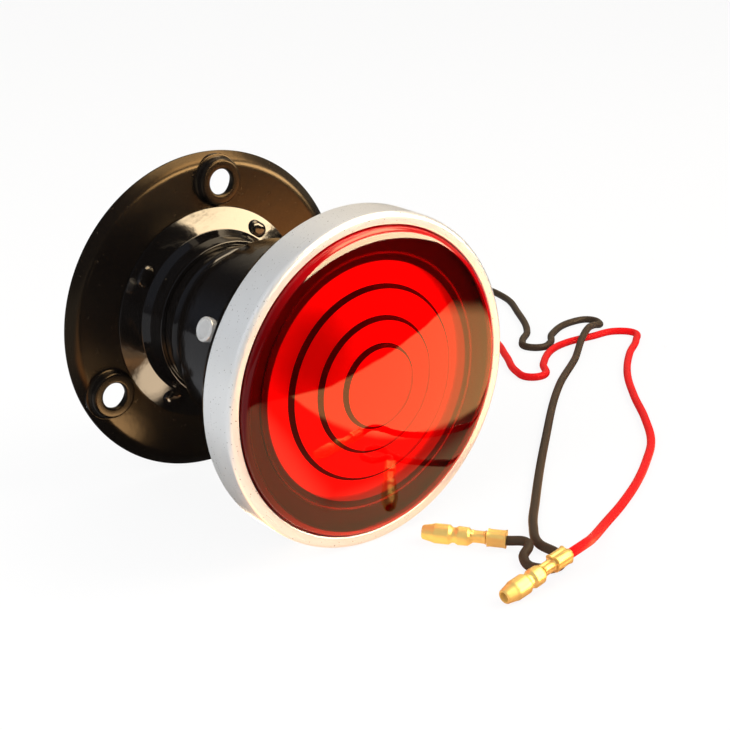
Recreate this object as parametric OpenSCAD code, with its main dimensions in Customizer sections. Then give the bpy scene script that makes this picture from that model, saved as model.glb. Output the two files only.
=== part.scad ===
// Round motorcycle tail light: a spun bell housing on a three-hole mounting flange,
// with a push-on rim, a pressed glass lens, a bayonet bulb and two bullet-ended leads.
// The lamp lies on its side on a flat surface, nose down by the angle that its two rims give it.

/* [Mounting flange] */
// Outer diameter of the mounting flange
flange_d = 86; // [84:0.5:96]
// Height of the flange's face over its back edge
flange_face = 2.2; // [1.9:0.1:3]
// Thickness of the flange's sheet
flange_sheet = 1.2; // [0.8:0.1:1.4]
// Width of the bevelled edge
flange_bevel = 2.6; // [2:0.1:4]
// Height of the square edge under the bevel
flange_edge = 0.5; // [0.2:0.1:0.8]
// Width of the flat ring that the flange stands on
flange_lip = 1.6; // [1.2:0.1:1.9]
// Number of mounting bosses
boss_count = 3; // [2:1:3]
// Angle of the first boss round the axis
boss_angle = 87; // [80:1:94]
// Diameter of a mounting hole
mount_hole_d = 6.8; // [5:0.2:7.4]
// Outer diameter of a boss
boss_d = 12.2; // [11.4:0.2:12.6]
// Height of a boss over the face
boss_h = 2.5; // [1.6:0.1:3.5]
// Radius of a boss's rounded edge
boss_round = 0.7; // [0.3:0.1:0.9]
// Radius of the rounded mouth of a mounting hole
boss_mouth = 0.5; // [0.2:0.1:0.6]
// Gap between the collar's foot and the fillet of a boss
boss_gap = 0.1; // [0.05:0.05:0.5]
// Diameter of the hole for the leads in the middle of the flange
cable_hole_d = 9; // [8.6:0.2:12]

/* [Collar] */
// Width of the collar's foot from the wall to its edge
foot_w = 6.8; // [6.2:0.1:7.2]
// Thickness of the foot
foot_t = 1.0; // [0.8:0.1:1.2]
// Height of the collar's top edge over the flange's face
collar_h = 8.6; // [6:0.2:10]
// Thickness of the collar's wall at its root
collar_root_t = 1.75; // [1.5:0.05:2]
// Thickness of the collar's wall at its top edge
collar_top_t = 1.25; // [1:0.05:1.5]
// Fillet between foot and wall
collar_fillet = 0.8; // [0.4:0.1:1]
// Number of rivets in the foot
rivet_count = 4; // [3:1:6]
// Angle of the first rivet round the axis
rivet_angle = 57; // [50:1:62]
// Distance of the rivets' circle from the collar's wall
rivet_away = 3.2; // [3:0.1:3.5]
// Diameter of a rivet's shank
rivet_shank_d = 2.9; // [2:0.1:3.2]
// Width of a rivet's head towards the axis
rivet_head_w = 4.2; // [3.6:0.1:4.4]
// Length of a rivet's head round the axis
rivet_head_l = 6.0; // [5.4:0.1:6.6]
// Height of a rivet's head
rivet_head_h = 1.1; // [0.8:0.1:1.6]
// Diameter of a rivet's tail behind the flange
rivet_tail_d = 4.6; // [3.8:0.1:5]
// Thickness of a rivet's tail
rivet_tail_h = 0.7; // [0.4:0.1:0.7]

/* [Bell] */
// Outer diameter of the bell's tube
tube_d = 40; // [38:0.5:40]
// Thickness of the bell's sheet
bell_t = 1.0; // [0.7:0.1:1.1]
// Gap between the tube's rear edge and the foot
tube_gap = 0.2; // [0.1:0.1:1]
// Place of the rolled bead along the axis
bead_z = 15.3; // [14.9:0.1:15.6]
// Radius of the bead's round back
bead_round = 1.8; // [1.7:0.05:2]
// How far the bead's centre lies inside the tube's surface
bead_sink = 0.7; // [0.6:0.05:0.9]
// Place of the shoulder's front edge along the axis
shoulder_z = 26.6; // [26:0.2:28]
// Radius of the shoulder
shoulder_round = 1.5; // [1.2:0.1:2.5]
// Outer diameter of the body
body_d = 50.8; // [50:0.4:52]
// Place where the body starts to flare
flare_z = 43; // [42.6:0.2:44]
// Radius of the hollow part of the flare
flare_round = 10; // [9:0.5:10.5]
// Angle through which the flare turns
flare_angle = 80; // [76:1:82]
// Radius of the full part of the flare
pan_round = 7.55; // [7.2:0.05:7.8]
// Length of the straight wall of the pan
pan_wall = 5.7; // [5.2:0.1:5.8]

/* [Rim] */
// Thickness of the rim's wall
rim_t = 1.3; // [0.9:0.1:1.5]
// Length of the rim along the axis
rim_l = 10.1; // [9.6:0.1:11]
// Radius of the rim's front shoulder
rim_round = 1.3; // [0.6:0.1:1.3]
// Width of the lip over the lens
rim_lip = 1.75; // [1.4:0.05:2]
// Thickness of the lip
rim_lip_t = 1.2; // [0.8:0.1:1.3]
// Radius of the lip's inner edge
rim_lip_round = 0.4; // [0.2:0.1:0.5]

/* [Lens] */
// Gap between the lens and the edge of the rim's lip
lens_gap = 0.3; // [0.2:0.1:0.6]
// Width of the lens's rounded shoulder
lens_shoulder = 1.5; // [1:0.1:2]
// Height of the dome over the rim's front face, at the middle
lens_rise = 4.5; // [3:0.1:6]
// Height of the shoulder over the rim's front face
lens_edge_rise = 1.2; // [0.6:0.1:1.8]
// Radii of the steps in the lens's back
lens_steps = [10.2, 16.4, 23.5, 31];
// Height of each step in the lens's back
lens_step_h = 1.4; // [1:0.1:1.4]
// Thickness of the gasket behind the lens
gasket_t = 4.3; // [4:0.1:4.6]
// Width of the gasket
gasket_w = 9.5; // [8:0.5:10]

/* [Reflector] */
// Thickness of the reflector's sheet
reflector_t = 0.6; // [0.4:0.1:0.8]
// Radius of the reflector's mouth
mouth_r = 28.5; // [28:0.1:29]
// Radius of the hole for the bulb
bulb_hole_r = 10.3; // [9.5:0.1:11]
// Depth of the bowl from the mouth's plane to its virtual bottom
bowl_depth = 17.5; // [16.5:0.1:18]

/* [Bulb] */
// Diameter of the bulb's glass
glass_d = 19; // [17:0.5:19.5]
// Diameter of the bulb's cap
cap_d = 15; // [14.6:0.1:15]
// Length of the cap
cap_l = 16.5; // [15:0.5:17]
// Length of the whole bulb
bulb_l = 37.5; // [36:0.5:38]
// Diameter of a bayonet pin
pin_d = 2; // [1.8:0.1:2.1]
// Place of the pins over the cap's bottom
pin_h = 7; // [6.5:0.1:7.5]
// How far a pin stands out of the cap
pin_out = 1.4; // [1:0.1:1.4]
// Thickness of the bulb's glass
glass_t = 0.6; // [0.5:0.1:0.8]
// Length of the filament
filament_l = 5.2; // [4:0.2:7]
// Distance between the filament's wires where they leave the stem
stem_pitch = 2; // [1.6:0.1:3]

/* [Socket] */
// Place of the socket's front edge along the axis
socket_front = 43; // [42:0.2:43]
// Length of the socket's tube
socket_l = 28; // [27:0.5:29]
// Thickness of the socket's tube
socket_t = 0.8; // [0.6:0.1:0.8]
// Travel of the contact when the bulb is pressed in
press_travel = 1.5; // [1:0.1:1.6]
// Angle that the bulb turns through
turn_angle = 20; // [15:1:22]
// Width of the strap that carries the socket
strap_w = 12; // [10:0.5:13]
// Thickness of the strap
strap_t = 1.2; // [0.8:0.1:1.4]
// Place of the strap's cross plate behind the socket's front edge
strap_back = 14.8; // [14:0.1:15.4]
// Radius of the round middle of the cross plate
strap_disc_r = 13; // [12:0.5:14]
// Length of the strap's legs from the cross plate's front
strap_leg = 13.3; // [13:0.1:13.6]
// Angle of the side rivets round the axis
side_angle = 159.5; // [155:0.5:165]
// Distance of the side rivets from the front of the strap's legs
side_back = 3.7; // [3.4:0.1:4.5]
// Diameter of a side rivet's head
side_head_d = 6.2; // [5:0.1:6.8]
// Height of a side rivet's head
side_head_h = 1.9; // [1.2:0.1:2.2]
// Diameter of a side rivet's shank
side_shank_d = 3; // [2.4:0.1:3.2]

/* [Leads] */
// Diameter of a lead
lead_d = 2.4; // [2:0.1:2.6]
// Distance between the two leads in the grommet
lead_pitch = 3.4; // [3.2:0.1:3.8]
// Thickness of the grommet's front lip
grommet_lip = 1.6; // [1:0.1:2]
// How far the grommet's lips reach over the flange
grommet_over = 1.6; // [1:0.1:2]
// Length of a bullet connector
bullet_l = 20.7; // [20:0.1:22]
// Diameter of a bullet connector's barrel
bullet_d = 4.9; // [4.6:0.1:5]
// Diameter of a bullet connector's open tip
bullet_tip_d = 3.5; // [3:0.1:4]
// Diameter of the hole in a bullet connector's tip
bullet_bore_d = 2.4; // [1.6:0.1:2.6]

/* [Hidden] */
$fn = 96;
// Clearance of pieces that are slipped over each other
slip = 0.05;
// Clearance of pieces that move past each other
free = 0.35;

// Flange and collar
flange_r = flange_d / 2;
sheet_back = flange_face - flange_sheet;
boss_top = flange_face + boss_h;
boss_r = boss_d / 2;
tube_r = tube_d / 2;
collar_bore = tube_r + slip;
collar_root_r = collar_bore + collar_root_t;
collar_top_r = collar_bore + collar_top_t;
foot_r = collar_root_r + foot_w;
rivet_r = collar_root_r + rivet_away;
rivet_hole_d = rivet_shank_d + 2 * slip;
mount_r = foot_r + boss_gap + boss_round + boss_r;
foot_top = flange_face + foot_t;
collar_top = flange_face + collar_h;

// Bell
tube_z = foot_top + tube_gap;
body_r = body_d / 2;
bead_c = [tube_r - bead_sink, bead_z];
bead_a = acos(bead_sink / bead_round);
neck_a = 54;
flare_c = [body_r + flare_round, flare_z];
flare_end = flare_c + flare_round * [cos(180 - flare_angle), sin(180 - flare_angle)];
pan_c = flare_end + pan_round * [-cos(flare_angle), sin(flare_angle)];
pan_r = pan_c[0] + pan_round;
pan_in_r = pan_r - bell_t;
pan_front = pan_c[1] + pan_wall;
shoulder_c = [body_r - shoulder_round, shoulder_z];

// Rim and lens, measured from the rear edge of the rim
rim_rear = pan_c[1];
rim_front = rim_rear + rim_l;
rim_in_r = pan_r + slip;
rim_r = rim_in_r + rim_t;
lip_back = rim_front - rim_lip_t;
lens_edge_r = rim_in_r - 0.2;
lens_r = rim_in_r - rim_lip - lens_gap;
lens_top = rim_front + lens_rise;
lens_seat = pan_front + 0.4;
shoulder_top = rim_front + lens_edge_rise;
lens_cap_r = lens_r - lens_shoulder;
shoulder_low = rim_front - 0.3;
dome_drop = lens_top - shoulder_top;
dome_r = (lens_cap_r * lens_cap_r + dome_drop * dome_drop) / (2 * dome_drop);

// Reflector, with its skirt standing in the pan's curve
brim_top = lens_seat - gasket_t;
brim_back = brim_top - reflector_t;
skirt_r = pan_in_r - 0.5;
pan_inner_round = pan_round - bell_t;
skirt_z = pan_c[1] - sqrt(pow(pan_inner_round, 2) - pow(skirt_r - pan_c[0], 2)) + 0.1;
bowl_bottom = brim_back - bowl_depth;
bowl_k = bowl_depth / (mouth_r * mouth_r);
gasket_r = skirt_r + 0.1;

// Bulb and socket
cap_r = cap_d / 2;
socket_in_r = cap_r + free;
socket_r = socket_in_r + socket_t;
socket_rear = socket_front - socket_l;
socket_floor = socket_rear + socket_t;
bulb_tip = socket_front - 16;
cap_z = bulb_tip + 1;
cap_top = cap_z + cap_l;
pin_z = cap_z + pin_h;
glass_r = glass_d / 2;
glass_z = bulb_tip + bulb_l - glass_r;
cap_wall = 0.4;
cap_crimp = 0.3;
cap_lip = 0.9;
neck_r = cap_r - cap_wall - cap_crimp - slip;
neck_l = 5;
foot_rise = 4;
disc_r = socket_in_r - free;
disc_t = 1.5;
button_r = 2.2;
button_h = 0.6;
stem_r = 1;
stem_l = 4;
disc_front = bulb_tip - button_h;
disc_back = disc_front - disc_t;
slot_w = pin_d + 0.6;
slot_half = asin(slot_w / 2 / socket_in_r);
stem_hole_r = lead_d / 2 + 0.2;
strap_back_z = socket_front - strap_back - strap_t;
strap_front_z = strap_back_z + strap_t;
strap_r = body_r - bell_t - slip;
leg_top = strap_front_z + strap_leg;
side_z = leg_top - side_back;
side_edge = 0.5;
side_tail_h = 0.6;
side_over = 0.8;
earth_r = 17;
earth_place = [earth_r * cos(side_angle), earth_r * sin(side_angle)];
screw_d = 3;
screw_head_d = 5.4;
screw_head_h = 2;
terminal_t = 0.6;
terminal_r = 3.2;
terminal_reach = 8.5;
terminal_barrel = 4.2;
spring_wire_r = 0.4;
spring_r = 5.6;
spring_turns = 4;

// Leads and connectors
lead_r = lead_d / 2;
tilt = atan((flange_r - rim_r) / (rim_front - rim_round));
axis_z = flange_r * cos(tilt);
axis_y = (lens_top * cos(tilt) - flange_r * sin(tilt)) / 2;
lead_out = [0, cos(tilt), sin(tilt)];
red_exit = [lead_pitch / 2, axis_y, axis_z];
black_exit = [-lead_pitch / 2, axis_y, axis_z];
bullet_r = bullet_d / 2;
sleeve_crimp_r = 1.9;
sleeve_crimp_l = 4.6;
wire_crimp_r = 1.35;
wire_crimp_z = 5;
wire_crimp_l = 3.4;
swell_r = 2.3;
swell_z = 8.3;
swell_l = 3.5;
waist_depth = 0.55;
bore_depth = 5;
red_end = [22.5, -76.5, 6.2];
red_heading = [-20.3, -0.5, -4.1];
black_end = [23, -56, 2.5];
black_heading = [-12.5, 16.5, 0];
red_points = [
    [3, 52, 39], [6, 60, 29], [9, 66, 18], [16, 74, 7], [28, 83, 1.2], [55, 94, 1.2], [90, 101, 1.2],
    [120, 97, 1.2], [135, 83, 1.2], [133, 66, 1.2], [124, 50, 1.2], [116, 37, 1.2], [115, 31, 1.2],
    [120, 29, 1.2], [128, 37, 1.2], [141, 46, 1.2], [151, 48.5, 1.2], [162, 48, 1.2], [173, 47, 1.2],
    [176.5, 42, 1.2], [171, 36, 1.2], [158.5, 27.5, 1.2], [142.5, 14, 1.2], [128, -2, 1.2],
    [116, -17, 1.2], [103, -31, 1.2], [91, -40, 1.2], [77, -49, 1.2], [63, -56.5, 1.2],
    [50, -62.5, 1.8], [38, -69, 4.6]
];
black_points = [
    [-3, 52, 40], [-5, 60, 31], [-4, 66, 20], [1, 73, 9], [12, 82, 2], [30, 92, 1.2], [60, 108, 1.2],
    [95, 125, 1.2], [130, 134, 1.2], [158, 131, 1.2], [173, 118, 1.2], [172, 102, 1.2], [162, 84, 1.2],
    [148, 65, 1.2], [140, 59, 1.2], [136.5, 54, 1.2], [140, 50, 1.2], [145.5, 51.5, 1.2],
    [153, 58, 1.2], [169, 64, 1.2], [176, 62, 1.2], [175, 56.5, 1.2],
    [168, 53, 2.8], [161, 49, 4], [153, 44, 3.2], [140, 34.5, 1.2], [117, 19, 1.2],
    [80, -12, 1.2], [47, -41.5, 1.2], [36, -52, 1.2], [30, -60, 1.2],
    [29, -68, 1.2], [24, -72, 1.2], [19.5, -68.5, 1.2], [21, -64, 1.5]
];
red_inner_points = [[2.6, 1.5, 6], [2.4, 2, 9], [0.8, 0.8, 12]];
black_inner_points = [[-4, -2, 8], [-9, -6, 13], [-14.5, -10, 19], [-19, -8.5, 24]];

// Outside of the bell, from the tube over bead, neck, shoulder and flare to the pan
shoulder_a = -30;
bead_top = bead_c + bead_round * [cos(neck_a), sin(neck_a)];
cone_end = shoulder_c + shoulder_round * [cos(shoulder_a), sin(shoulder_a)];
cone_dip = [(bead_top[0] + cone_end[0]) / 2 - 0.5, (bead_top[1] + cone_end[1]) / 2 + 0.4];
bell_path = concat(
    [[tube_r, tube_z]],
    arc(bead_c, bead_round, -bead_a, neck_a, 6),
    [bead_top + [0.3, 0.8], cone_dip],
    arc(shoulder_c, shoulder_round, shoulder_a, 0, 3),
    arc(flare_c, flare_round, 180, 180 - flare_angle, 8),
    [for (i = [1:8]) pan_c + pan_round * [cos(flare_angle * (i / 8 - 1)), sin(flare_angle * (i / 8 - 1))]],
    [[pan_r, pan_front]]
);

// Vectors and outlines
function unit(v) = v / norm(v);
function turned(v) = [-v[1], v[0]];
function arc(c, r, from, to, steps) =
    [for (i = [0:steps]) c + r * [cos(from + (to - from) * i / steps), sin(from + (to - from) * i / steps)]];
// Point i of a path moved to the left by t, mitred at the corners
function moved(p, i, t) =
    let (a = turned(unit(p[max(i, 1)] - p[max(i, 1) - 1])))
    let (b = turned(unit(p[min(i + 1, len(p) - 1)] - p[min(i, len(p) - 2)])))
    p[i] + t * (a + b) / (1 + a * b);
// Closed outline of a sheet of thickness t on the left of a path
function sheet(p, t) = concat(p, [for (i = [len(p) - 1:-1:0]) moved(p, i, t)]);

// Tubes swept along points, with one ring of corners at each point
function heading(p, i) =
    unit((i < len(p) - 1 ? unit(p[i + 1] - p[i]) : [0, 0, 0]) + (i > 0 ? unit(p[i] - p[i - 1]) : [0, 0, 0]));
function square_to(v, h) = unit(v - (v * h) * h);
function sides(p) =
    [for (i = 0, s = square_to([0.3, 0.1, 1], heading(p, 0)); i < len(p);
        i = i + 1, s = i < len(p) ? square_to(s, heading(p, i)) : s) s];
module swept(p, r, corners) {
    side = sides(p);
    last = len(p) - 1;
    points = [for (i = [0:last]) for (k = [0:corners - 1])
        let (a = 360 * k / corners) p[i] + r * (cos(a) * side[i] + sin(a) * cross(heading(p, i), side[i]))];
    walls = [for (i = [0:last - 1]) for (k = [0:corners - 1]) for (half = [0, 1])
        let (a = i * corners, b = a + corners, m = (k + 1) % corners)
        half == 0 ? [a + k, b + k, b + m] : [a + k, b + m, a + m]];
    caps = [[for (k = [0:corners - 1]) k], [for (k = [corners - 1:-1:0]) last * corners + k]];
    polyhedron(points, concat(walls, caps));
}

// The route of a lead on the floor, straight where it leaves the lamp and where it meets its connector
function route(exit, points, end, direction) =
    concat([exit, exit + 6 * lead_out], points, [end - 5 * unit(direction), end]);

// From the lamp's own axis to the way it lies
module lying() {
    translate([0, axis_y, axis_z]) rotate([90 + tilt, 0, 0]) children();
}
module round_axis(count, first) {
    for (i = [0:count - 1]) rotate([0, 0, first + i * 360 / count]) children();
}

// Dished sheet of the flange before its bosses and holes
module flange_plate() {
    rotate_extrude() polygon([
        [flange_r, 0], [flange_r, flange_edge], [flange_r - flange_bevel, flange_face],
        [cable_hole_d / 2, flange_face], [cable_hole_d / 2, sheet_back],
        [flange_r - flange_bevel - flange_sheet / 2, sheet_back], [flange_r - flange_lip, 0]
    ]);
}
// One pressed boss, hollow behind, with a rounded hole
module boss() {
    hole_r = mount_hole_d / 2;
    fillet = boss_round;
    rotate_extrude() polygon(concat(
        [[hole_r, boss_top - flange_sheet]],
        arc([hole_r + boss_mouth, boss_top - boss_mouth], boss_mouth, 180, 90, 4),
        arc([boss_r - boss_round, boss_top - boss_round], boss_round, 90, 0, 4),
        arc([boss_r + fillet, flange_face + fillet], fillet, 180, 270, 4),
        [[boss_r + fillet, sheet_back], [boss_r - flange_sheet, sheet_back],
            [boss_r - flange_sheet, boss_top - flange_sheet]]
    ));
}
module mounting_flange() {
    color("#2c2420") lying() {
        difference() {
            flange_plate();
            round_axis(boss_count, boss_angle) translate([mount_r, 0, 0]) cylinder(h = boss_top, r = boss_r);
            round_axis(rivet_count, rivet_angle) translate([rivet_r, 0, 0])
                cylinder(h = boss_top, d = rivet_hole_d);
        }
        round_axis(boss_count, boss_angle) translate([mount_r, 0, 0]) boss();
    }
}

// Riveted foot with a short wall that holds the bell's tube
module collar() {
    edge = foot_t / 3;
    color("#262220") lying() difference() {
        rotate_extrude() polygon(concat(
            [[collar_bore, flange_face], [foot_r, flange_face]],
            [[foot_r, foot_top - edge], [foot_r - edge, foot_top]],
            arc([collar_root_r + collar_fillet, foot_top + collar_fillet], collar_fillet, 270, 180, 4),
            [[collar_top_r, collar_top - edge], [collar_top_r - edge, collar_top], [collar_bore, collar_top]]
        ));
        round_axis(rivet_count, rivet_angle) translate([rivet_r, 0, 0])
            cylinder(h = collar_top, d = rivet_hole_d);
    }
}

// Long domed heads with a round shank and an upset tail
module foot_rivet() {
    half = rivet_head_w / 2;
    ball = (half * half + rivet_head_h * rivet_head_h) / (2 * rivet_head_h);
    reach = (rivet_head_l - rivet_head_w) / 2;
    intersection() {
        translate([0, 0, foot_top + rivet_head_h - ball]) {
            translate([0, reach, 0]) sphere(ball);
            translate([0, -reach, 0]) sphere(ball);
            rotate([90, 0, 0]) cylinder(h = 2 * reach, r = ball, center = true);
        }
        translate([0, 0, foot_top + ball]) cube(2 * ball + 2 * reach, center = true);
        translate([-ball, -ball - reach, foot_top]) cube(2 * (ball + reach));
    }
    translate([0, 0, sheet_back - rivet_tail_h]) {
        cylinder(h = foot_top - sheet_back + rivet_tail_h + 0.2, d = rivet_shank_d);
        cylinder(h = rivet_tail_h, d = rivet_tail_d);
    }
}
module foot_rivets() {
    color("#1c1a19") lying() round_axis(rivet_count, rivet_angle) translate([rivet_r, 0, 0]) foot_rivet();
}

// Spun bell, from the tube in the collar over bead, shoulder and body to the pan
module side_hole() {
    rotate([0, 0, side_angle]) translate([0, 0, side_z]) rotate([0, 90, 0])
        cylinder(h = 2 * body_r, d = side_shank_d + 2 * slip, center = true);
}
module bell() {
    color("#191615") lying() difference() {
        rotate_extrude() polygon(sheet(bell_path, bell_t));
        side_hole();
    }
}

// Two rivets with flat dished heads that hold the strap in the bell
module side_rivet() {
    head_r = side_head_d / 2;
    seat = body_r + slip;
    top = seat + side_head_h;
    dish = top - 0.25;
    root = strap_r - strap_t - side_tail_h - free / 2;
    translate([0, 0, side_z]) rotate([0, 90, 0]) {
        rotate_extrude() polygon(concat(
            [[0, root], [side_shank_d / 2, root], [side_shank_d / 2, seat], [head_r, seat]],
            arc([head_r - side_edge, top - side_edge], side_edge, 0, 90, 3),
            [[head_r - 2 * side_edge, top], [head_r - 2.6 * side_edge, dish], [0, dish]]
        ));
        translate([0, 0, root]) cylinder(h = side_tail_h, d = side_shank_d + 2 * side_over);
    }
}
module side_rivets() {
    color("#c8c8c4") lying() round_axis(2, side_angle) side_rivet();
}

// U-shaped strap with a round cross plate for the socket
module socket_strap() {
    color("#b9b4a4") lying() rotate([0, 0, side_angle]) difference() {
        union() {
            translate([0, 0, strap_back_z]) cylinder(h = strap_t, r = strap_disc_r);
            intersection() {
                translate([0, 0, strap_back_z]) difference() {
                    cylinder(h = leg_top - strap_back_z, r = strap_r);
                    translate([0, 0, strap_t]) cylinder(h = leg_top, r = strap_r - strap_t);
                }
                translate([-strap_r, -strap_w / 2, 0]) cube([2 * strap_r, strap_w, leg_top + 1]);
            }
        }
        cylinder(h = leg_top, r = socket_r + slip);
        rotate([0, 0, -side_angle]) side_hole();
        translate([earth_r, 0, 0]) cylinder(h = strap_front_z + strap_t, d = screw_d + 2 * slip);
    }
}

// Tube with two L-shaped bayonet slots and a closed rear with a hole for the lead
module bayonet_slot() {
    low = pin_z - pin_d / 2 - press_travel - 0.25;
    high = pin_z + pin_d / 2 + 0.25;
    far = 2 * socket_r;
    run_end = turn_angle + slot_half + 1;
    translate([0, 0, low]) linear_extrude(high - low)
        polygon([[0, 0], far * [cos(slot_half), -sin(slot_half)], far * [cos(run_end), sin(run_end)]]);
    rotate([0, 0, turn_angle]) translate([0, -slot_w / 2, pin_z]) cube([far, slot_w, socket_front]);
}
module socket_shell() {
    color("#c2b280") lying() difference() {
        rotate([0, 0, 90]) rotate_extrude() polygon([
            [stem_hole_r, socket_rear], [socket_r, socket_rear], [socket_r, socket_front],
            [socket_in_r, socket_front], [socket_in_r, socket_floor], [stem_hole_r, socket_floor]
        ]);
        round_axis(2, 0) bayonet_slot();
    }
}

// Spring between the socket's floor and the contact disc
module contact_spring() {
    low = socket_floor + spring_wire_r + slip;
    high = disc_back - spring_wire_r - slip;
    steps = 8 * spring_turns;
    helix = [for (i = [0:steps])
        [spring_r * cos(45 * i), spring_r * sin(45 * i), low + (high - low) * i / steps]];
    color("#9aa0a4") lying() swept(helix, spring_wire_r, 6);
}
module contact_disc() {
    color("#7a4a2c") lying() translate([0, 0, disc_back]) difference() {
        cylinder(h = disc_t, r = disc_r);
        translate([0, 0, -1]) cylinder(h = disc_t + 2, r = stem_r + slip);
    }
}
// Brass contact with a stem through the disc, towards the end of the lead
module contact_button() {
    color("#d4af37") lying() {
        translate([0, 0, disc_front]) cylinder(h = button_h, r = button_r);
        translate([0, 0, disc_back - stem_l]) cylinder(h = stem_l + disc_t + button_h / 2, r = stem_r);
    }
}

// Bayonet bulb
module bulb_cap() {
    floor_t = 2.4;
    color("#cfa75a") lying() rotate_extrude() polygon([
        [0, cap_z], [cap_r - 2, cap_z], [cap_r - 0.6, cap_z + 0.6], [cap_r, cap_z + 1.6],
        [cap_r, cap_top - cap_lip], [cap_r - cap_crimp, cap_top], [cap_r - cap_crimp - cap_wall, cap_top],
        [cap_r - cap_wall, cap_top - cap_lip], [cap_r - cap_wall, cap_z + floor_t], [0, cap_z + floor_t]
    ]);
}
module bulb_pins() {
    color("#c9a24e") lying() round_axis(2, 0) translate([cap_r, 0, pin_z]) rotate([0, 90, 0])
        cylinder(h = pin_out, d = pin_d);
}
module bulb_contact() {
    ball = 2.5;
    color("#b8b8b4") lying() intersection() {
        translate([0, 0, bulb_tip + ball]) sphere(ball);
        translate([-ball, -ball, bulb_tip]) cube([2 * ball, 2 * ball, cap_z - bulb_tip]);
    }
}
// Clear envelope: a neck in the cap that opens into a globe
module bulb_glass() {
    neck_z = cap_top - neck_l;
    inner = glass_r - glass_t;
    meet = asin(neck_r / glass_r);
    globe = arc([0, glass_z], glass_r, meet - 90, 90, 16);
    hollow = arc([0, glass_z], inner, 90, asin((neck_r - glass_t) / inner) - 90, 16);
    color("#e8f0f0", 0.4) lying() rotate_extrude()
        polygon(concat([[neck_r - glass_t, neck_z], [neck_r, neck_z]], globe, hollow));
}
// Glass foot inside the neck that carries the wires
module bulb_stem() {
    foot = cap_top - neck_l;
    top = cap_top + foot_rise;
    color("#dfe8e6", 0.6) lying() rotate_extrude() polygon([
        [0, foot], [neck_r - glass_t - slip, foot], [neck_r - glass_t - slip, foot + 0.8],
        [2.6, foot + 3.2], [2, top], [0, top]
    ]);
}
// Coiled filament between two leaning wires that stand on the stem
module bulb_filament() {
    half = filament_l / 2;
    foot_z = cap_top + foot_rise;
    filament_z = glass_z - 0.4;
    lean = atan((half - stem_pitch / 2) / (filament_z - foot_z));
    color("#8f9499") lying() {
        for (side = [-1, 1]) {
            translate([side * stem_pitch / 2, 0, foot_z]) rotate([0, side * lean, 0])
                cylinder(h = (filament_z - foot_z) / cos(lean), r = 0.25);
            translate([side * half, 0, filament_z]) sphere(0.45);
        }
        translate([0, 0, filament_z]) rotate([0, 90, 0]) cylinder(h = filament_l, r = 0.35, center = true);
    }
}

// Bowl with a flat brim and a turned-down skirt that stands in the pan
module reflector() {
    radii = [for (i = [0:8]) bulb_hole_r + (mouth_r - bulb_hole_r) * i / 8];
    bowl = [for (r = radii) [r, bowl_bottom + bowl_k * r * r]];
    color("#d8d8d6") lying() rotate_extrude() polygon(concat(
        [for (p = bowl) p + [0, reflector_t]],
        [[skirt_r, brim_top], [skirt_r, skirt_z]],
        [[skirt_r - reflector_t, skirt_z], [skirt_r - reflector_t, brim_back]],
        [for (i = [8:-1:0]) bowl[i]]
    ));
}
module lens_gasket() {
    color("#161616") lying() translate([0, 0, brim_top]) difference() {
        cylinder(h = gasket_t, r = gasket_r);
        translate([0, 0, -1]) cylinder(h = gasket_t + 2, r = gasket_r - gasket_w);
    }
}

// Pressed lens with a low dome in front and rings of steps behind
module lens() {
    dome_a = asin(lens_cap_r / dome_r);
    risers = [for (i = [0:len(lens_steps) - 1]) for (end = [0, 1])
        [lens_steps[i], lens_seat + lens_step_h * (len(lens_steps) - i - end)]];
    color("#d8100c", 0.75) lying() rotate_extrude() polygon(concat(
        [[0, lens_seat + lens_step_h * len(lens_steps)]],
        risers,
        [[lens_edge_r, lens_seat], [lens_edge_r, lip_back], [lens_r, lip_back]],
        [for (a = [0:22.5:67.5])
            [lens_cap_r + lens_shoulder * cos(a), shoulder_low + (shoulder_top - shoulder_low) * sin(a)]],
        [for (i = [10:-1:0]) [dome_r * sin(dome_a * i / 10), lens_top - dome_r * (1 - cos(dome_a * i / 10))]]
    ));
}
module rim() {
    color("#c9ccd0") lying() rotate_extrude() polygon(concat(
        [[rim_in_r, rim_rear], [rim_r - 0.3, rim_rear], [rim_r, rim_rear + 0.3]],
        arc([rim_r - rim_round, rim_front - rim_round], rim_round, 0, 90, 5),
        arc([rim_in_r - rim_lip + rim_lip_round, rim_front - rim_lip_round], rim_lip_round, 90, 180, 3),
        [[rim_in_r - rim_lip, lip_back], [rim_in_r, lip_back]]
    ));
}

// Rubber grommet with a groove for the flange's sheet and two bores
module grommet() {
    groove = cable_hole_d / 2 - slip;
    over = cable_hole_d / 2 + grommet_over;
    color("#1b1b1b") lying() difference() {
        rotate_extrude() polygon([
            [0, 0], [over, 0], [over, sheet_back], [groove, sheet_back], [groove, flange_face],
            [over, flange_face], [over - 0.6, flange_face + grommet_lip], [0, flange_face + grommet_lip]
        ]);
        for (side = [-1, 1]) translate([side * lead_pitch / 2, 0, -1])
            cylinder(h = flange_face + grommet_lip + 2, r = lead_r + slip);
    }
}

// Leads inside the bell
module red_inner_lead() {
    points = concat([[lead_pitch / 2, 0, 0], [lead_pitch / 2, 0, 4]], red_inner_points,
        [[0, 0, socket_rear - 0.5], [0, 0, socket_floor + 2]]);
    color("#b01818") lying() swept(points, lead_r, 8);
}
module black_inner_lead() {
    outward = [-sin(side_angle), cos(side_angle)];
    end = earth_place + (terminal_reach + slip) * outward;
    level = strap_back_z - lead_r - slip;
    points = concat([[-lead_pitch / 2, 0, 0], [-lead_pitch / 2, 0, 4]], black_inner_points,
        [concat(end + 3 * outward, level), concat(end, level)]);
    color("#2a2420") lying() swept(points, lead_r, 8);
}
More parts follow.
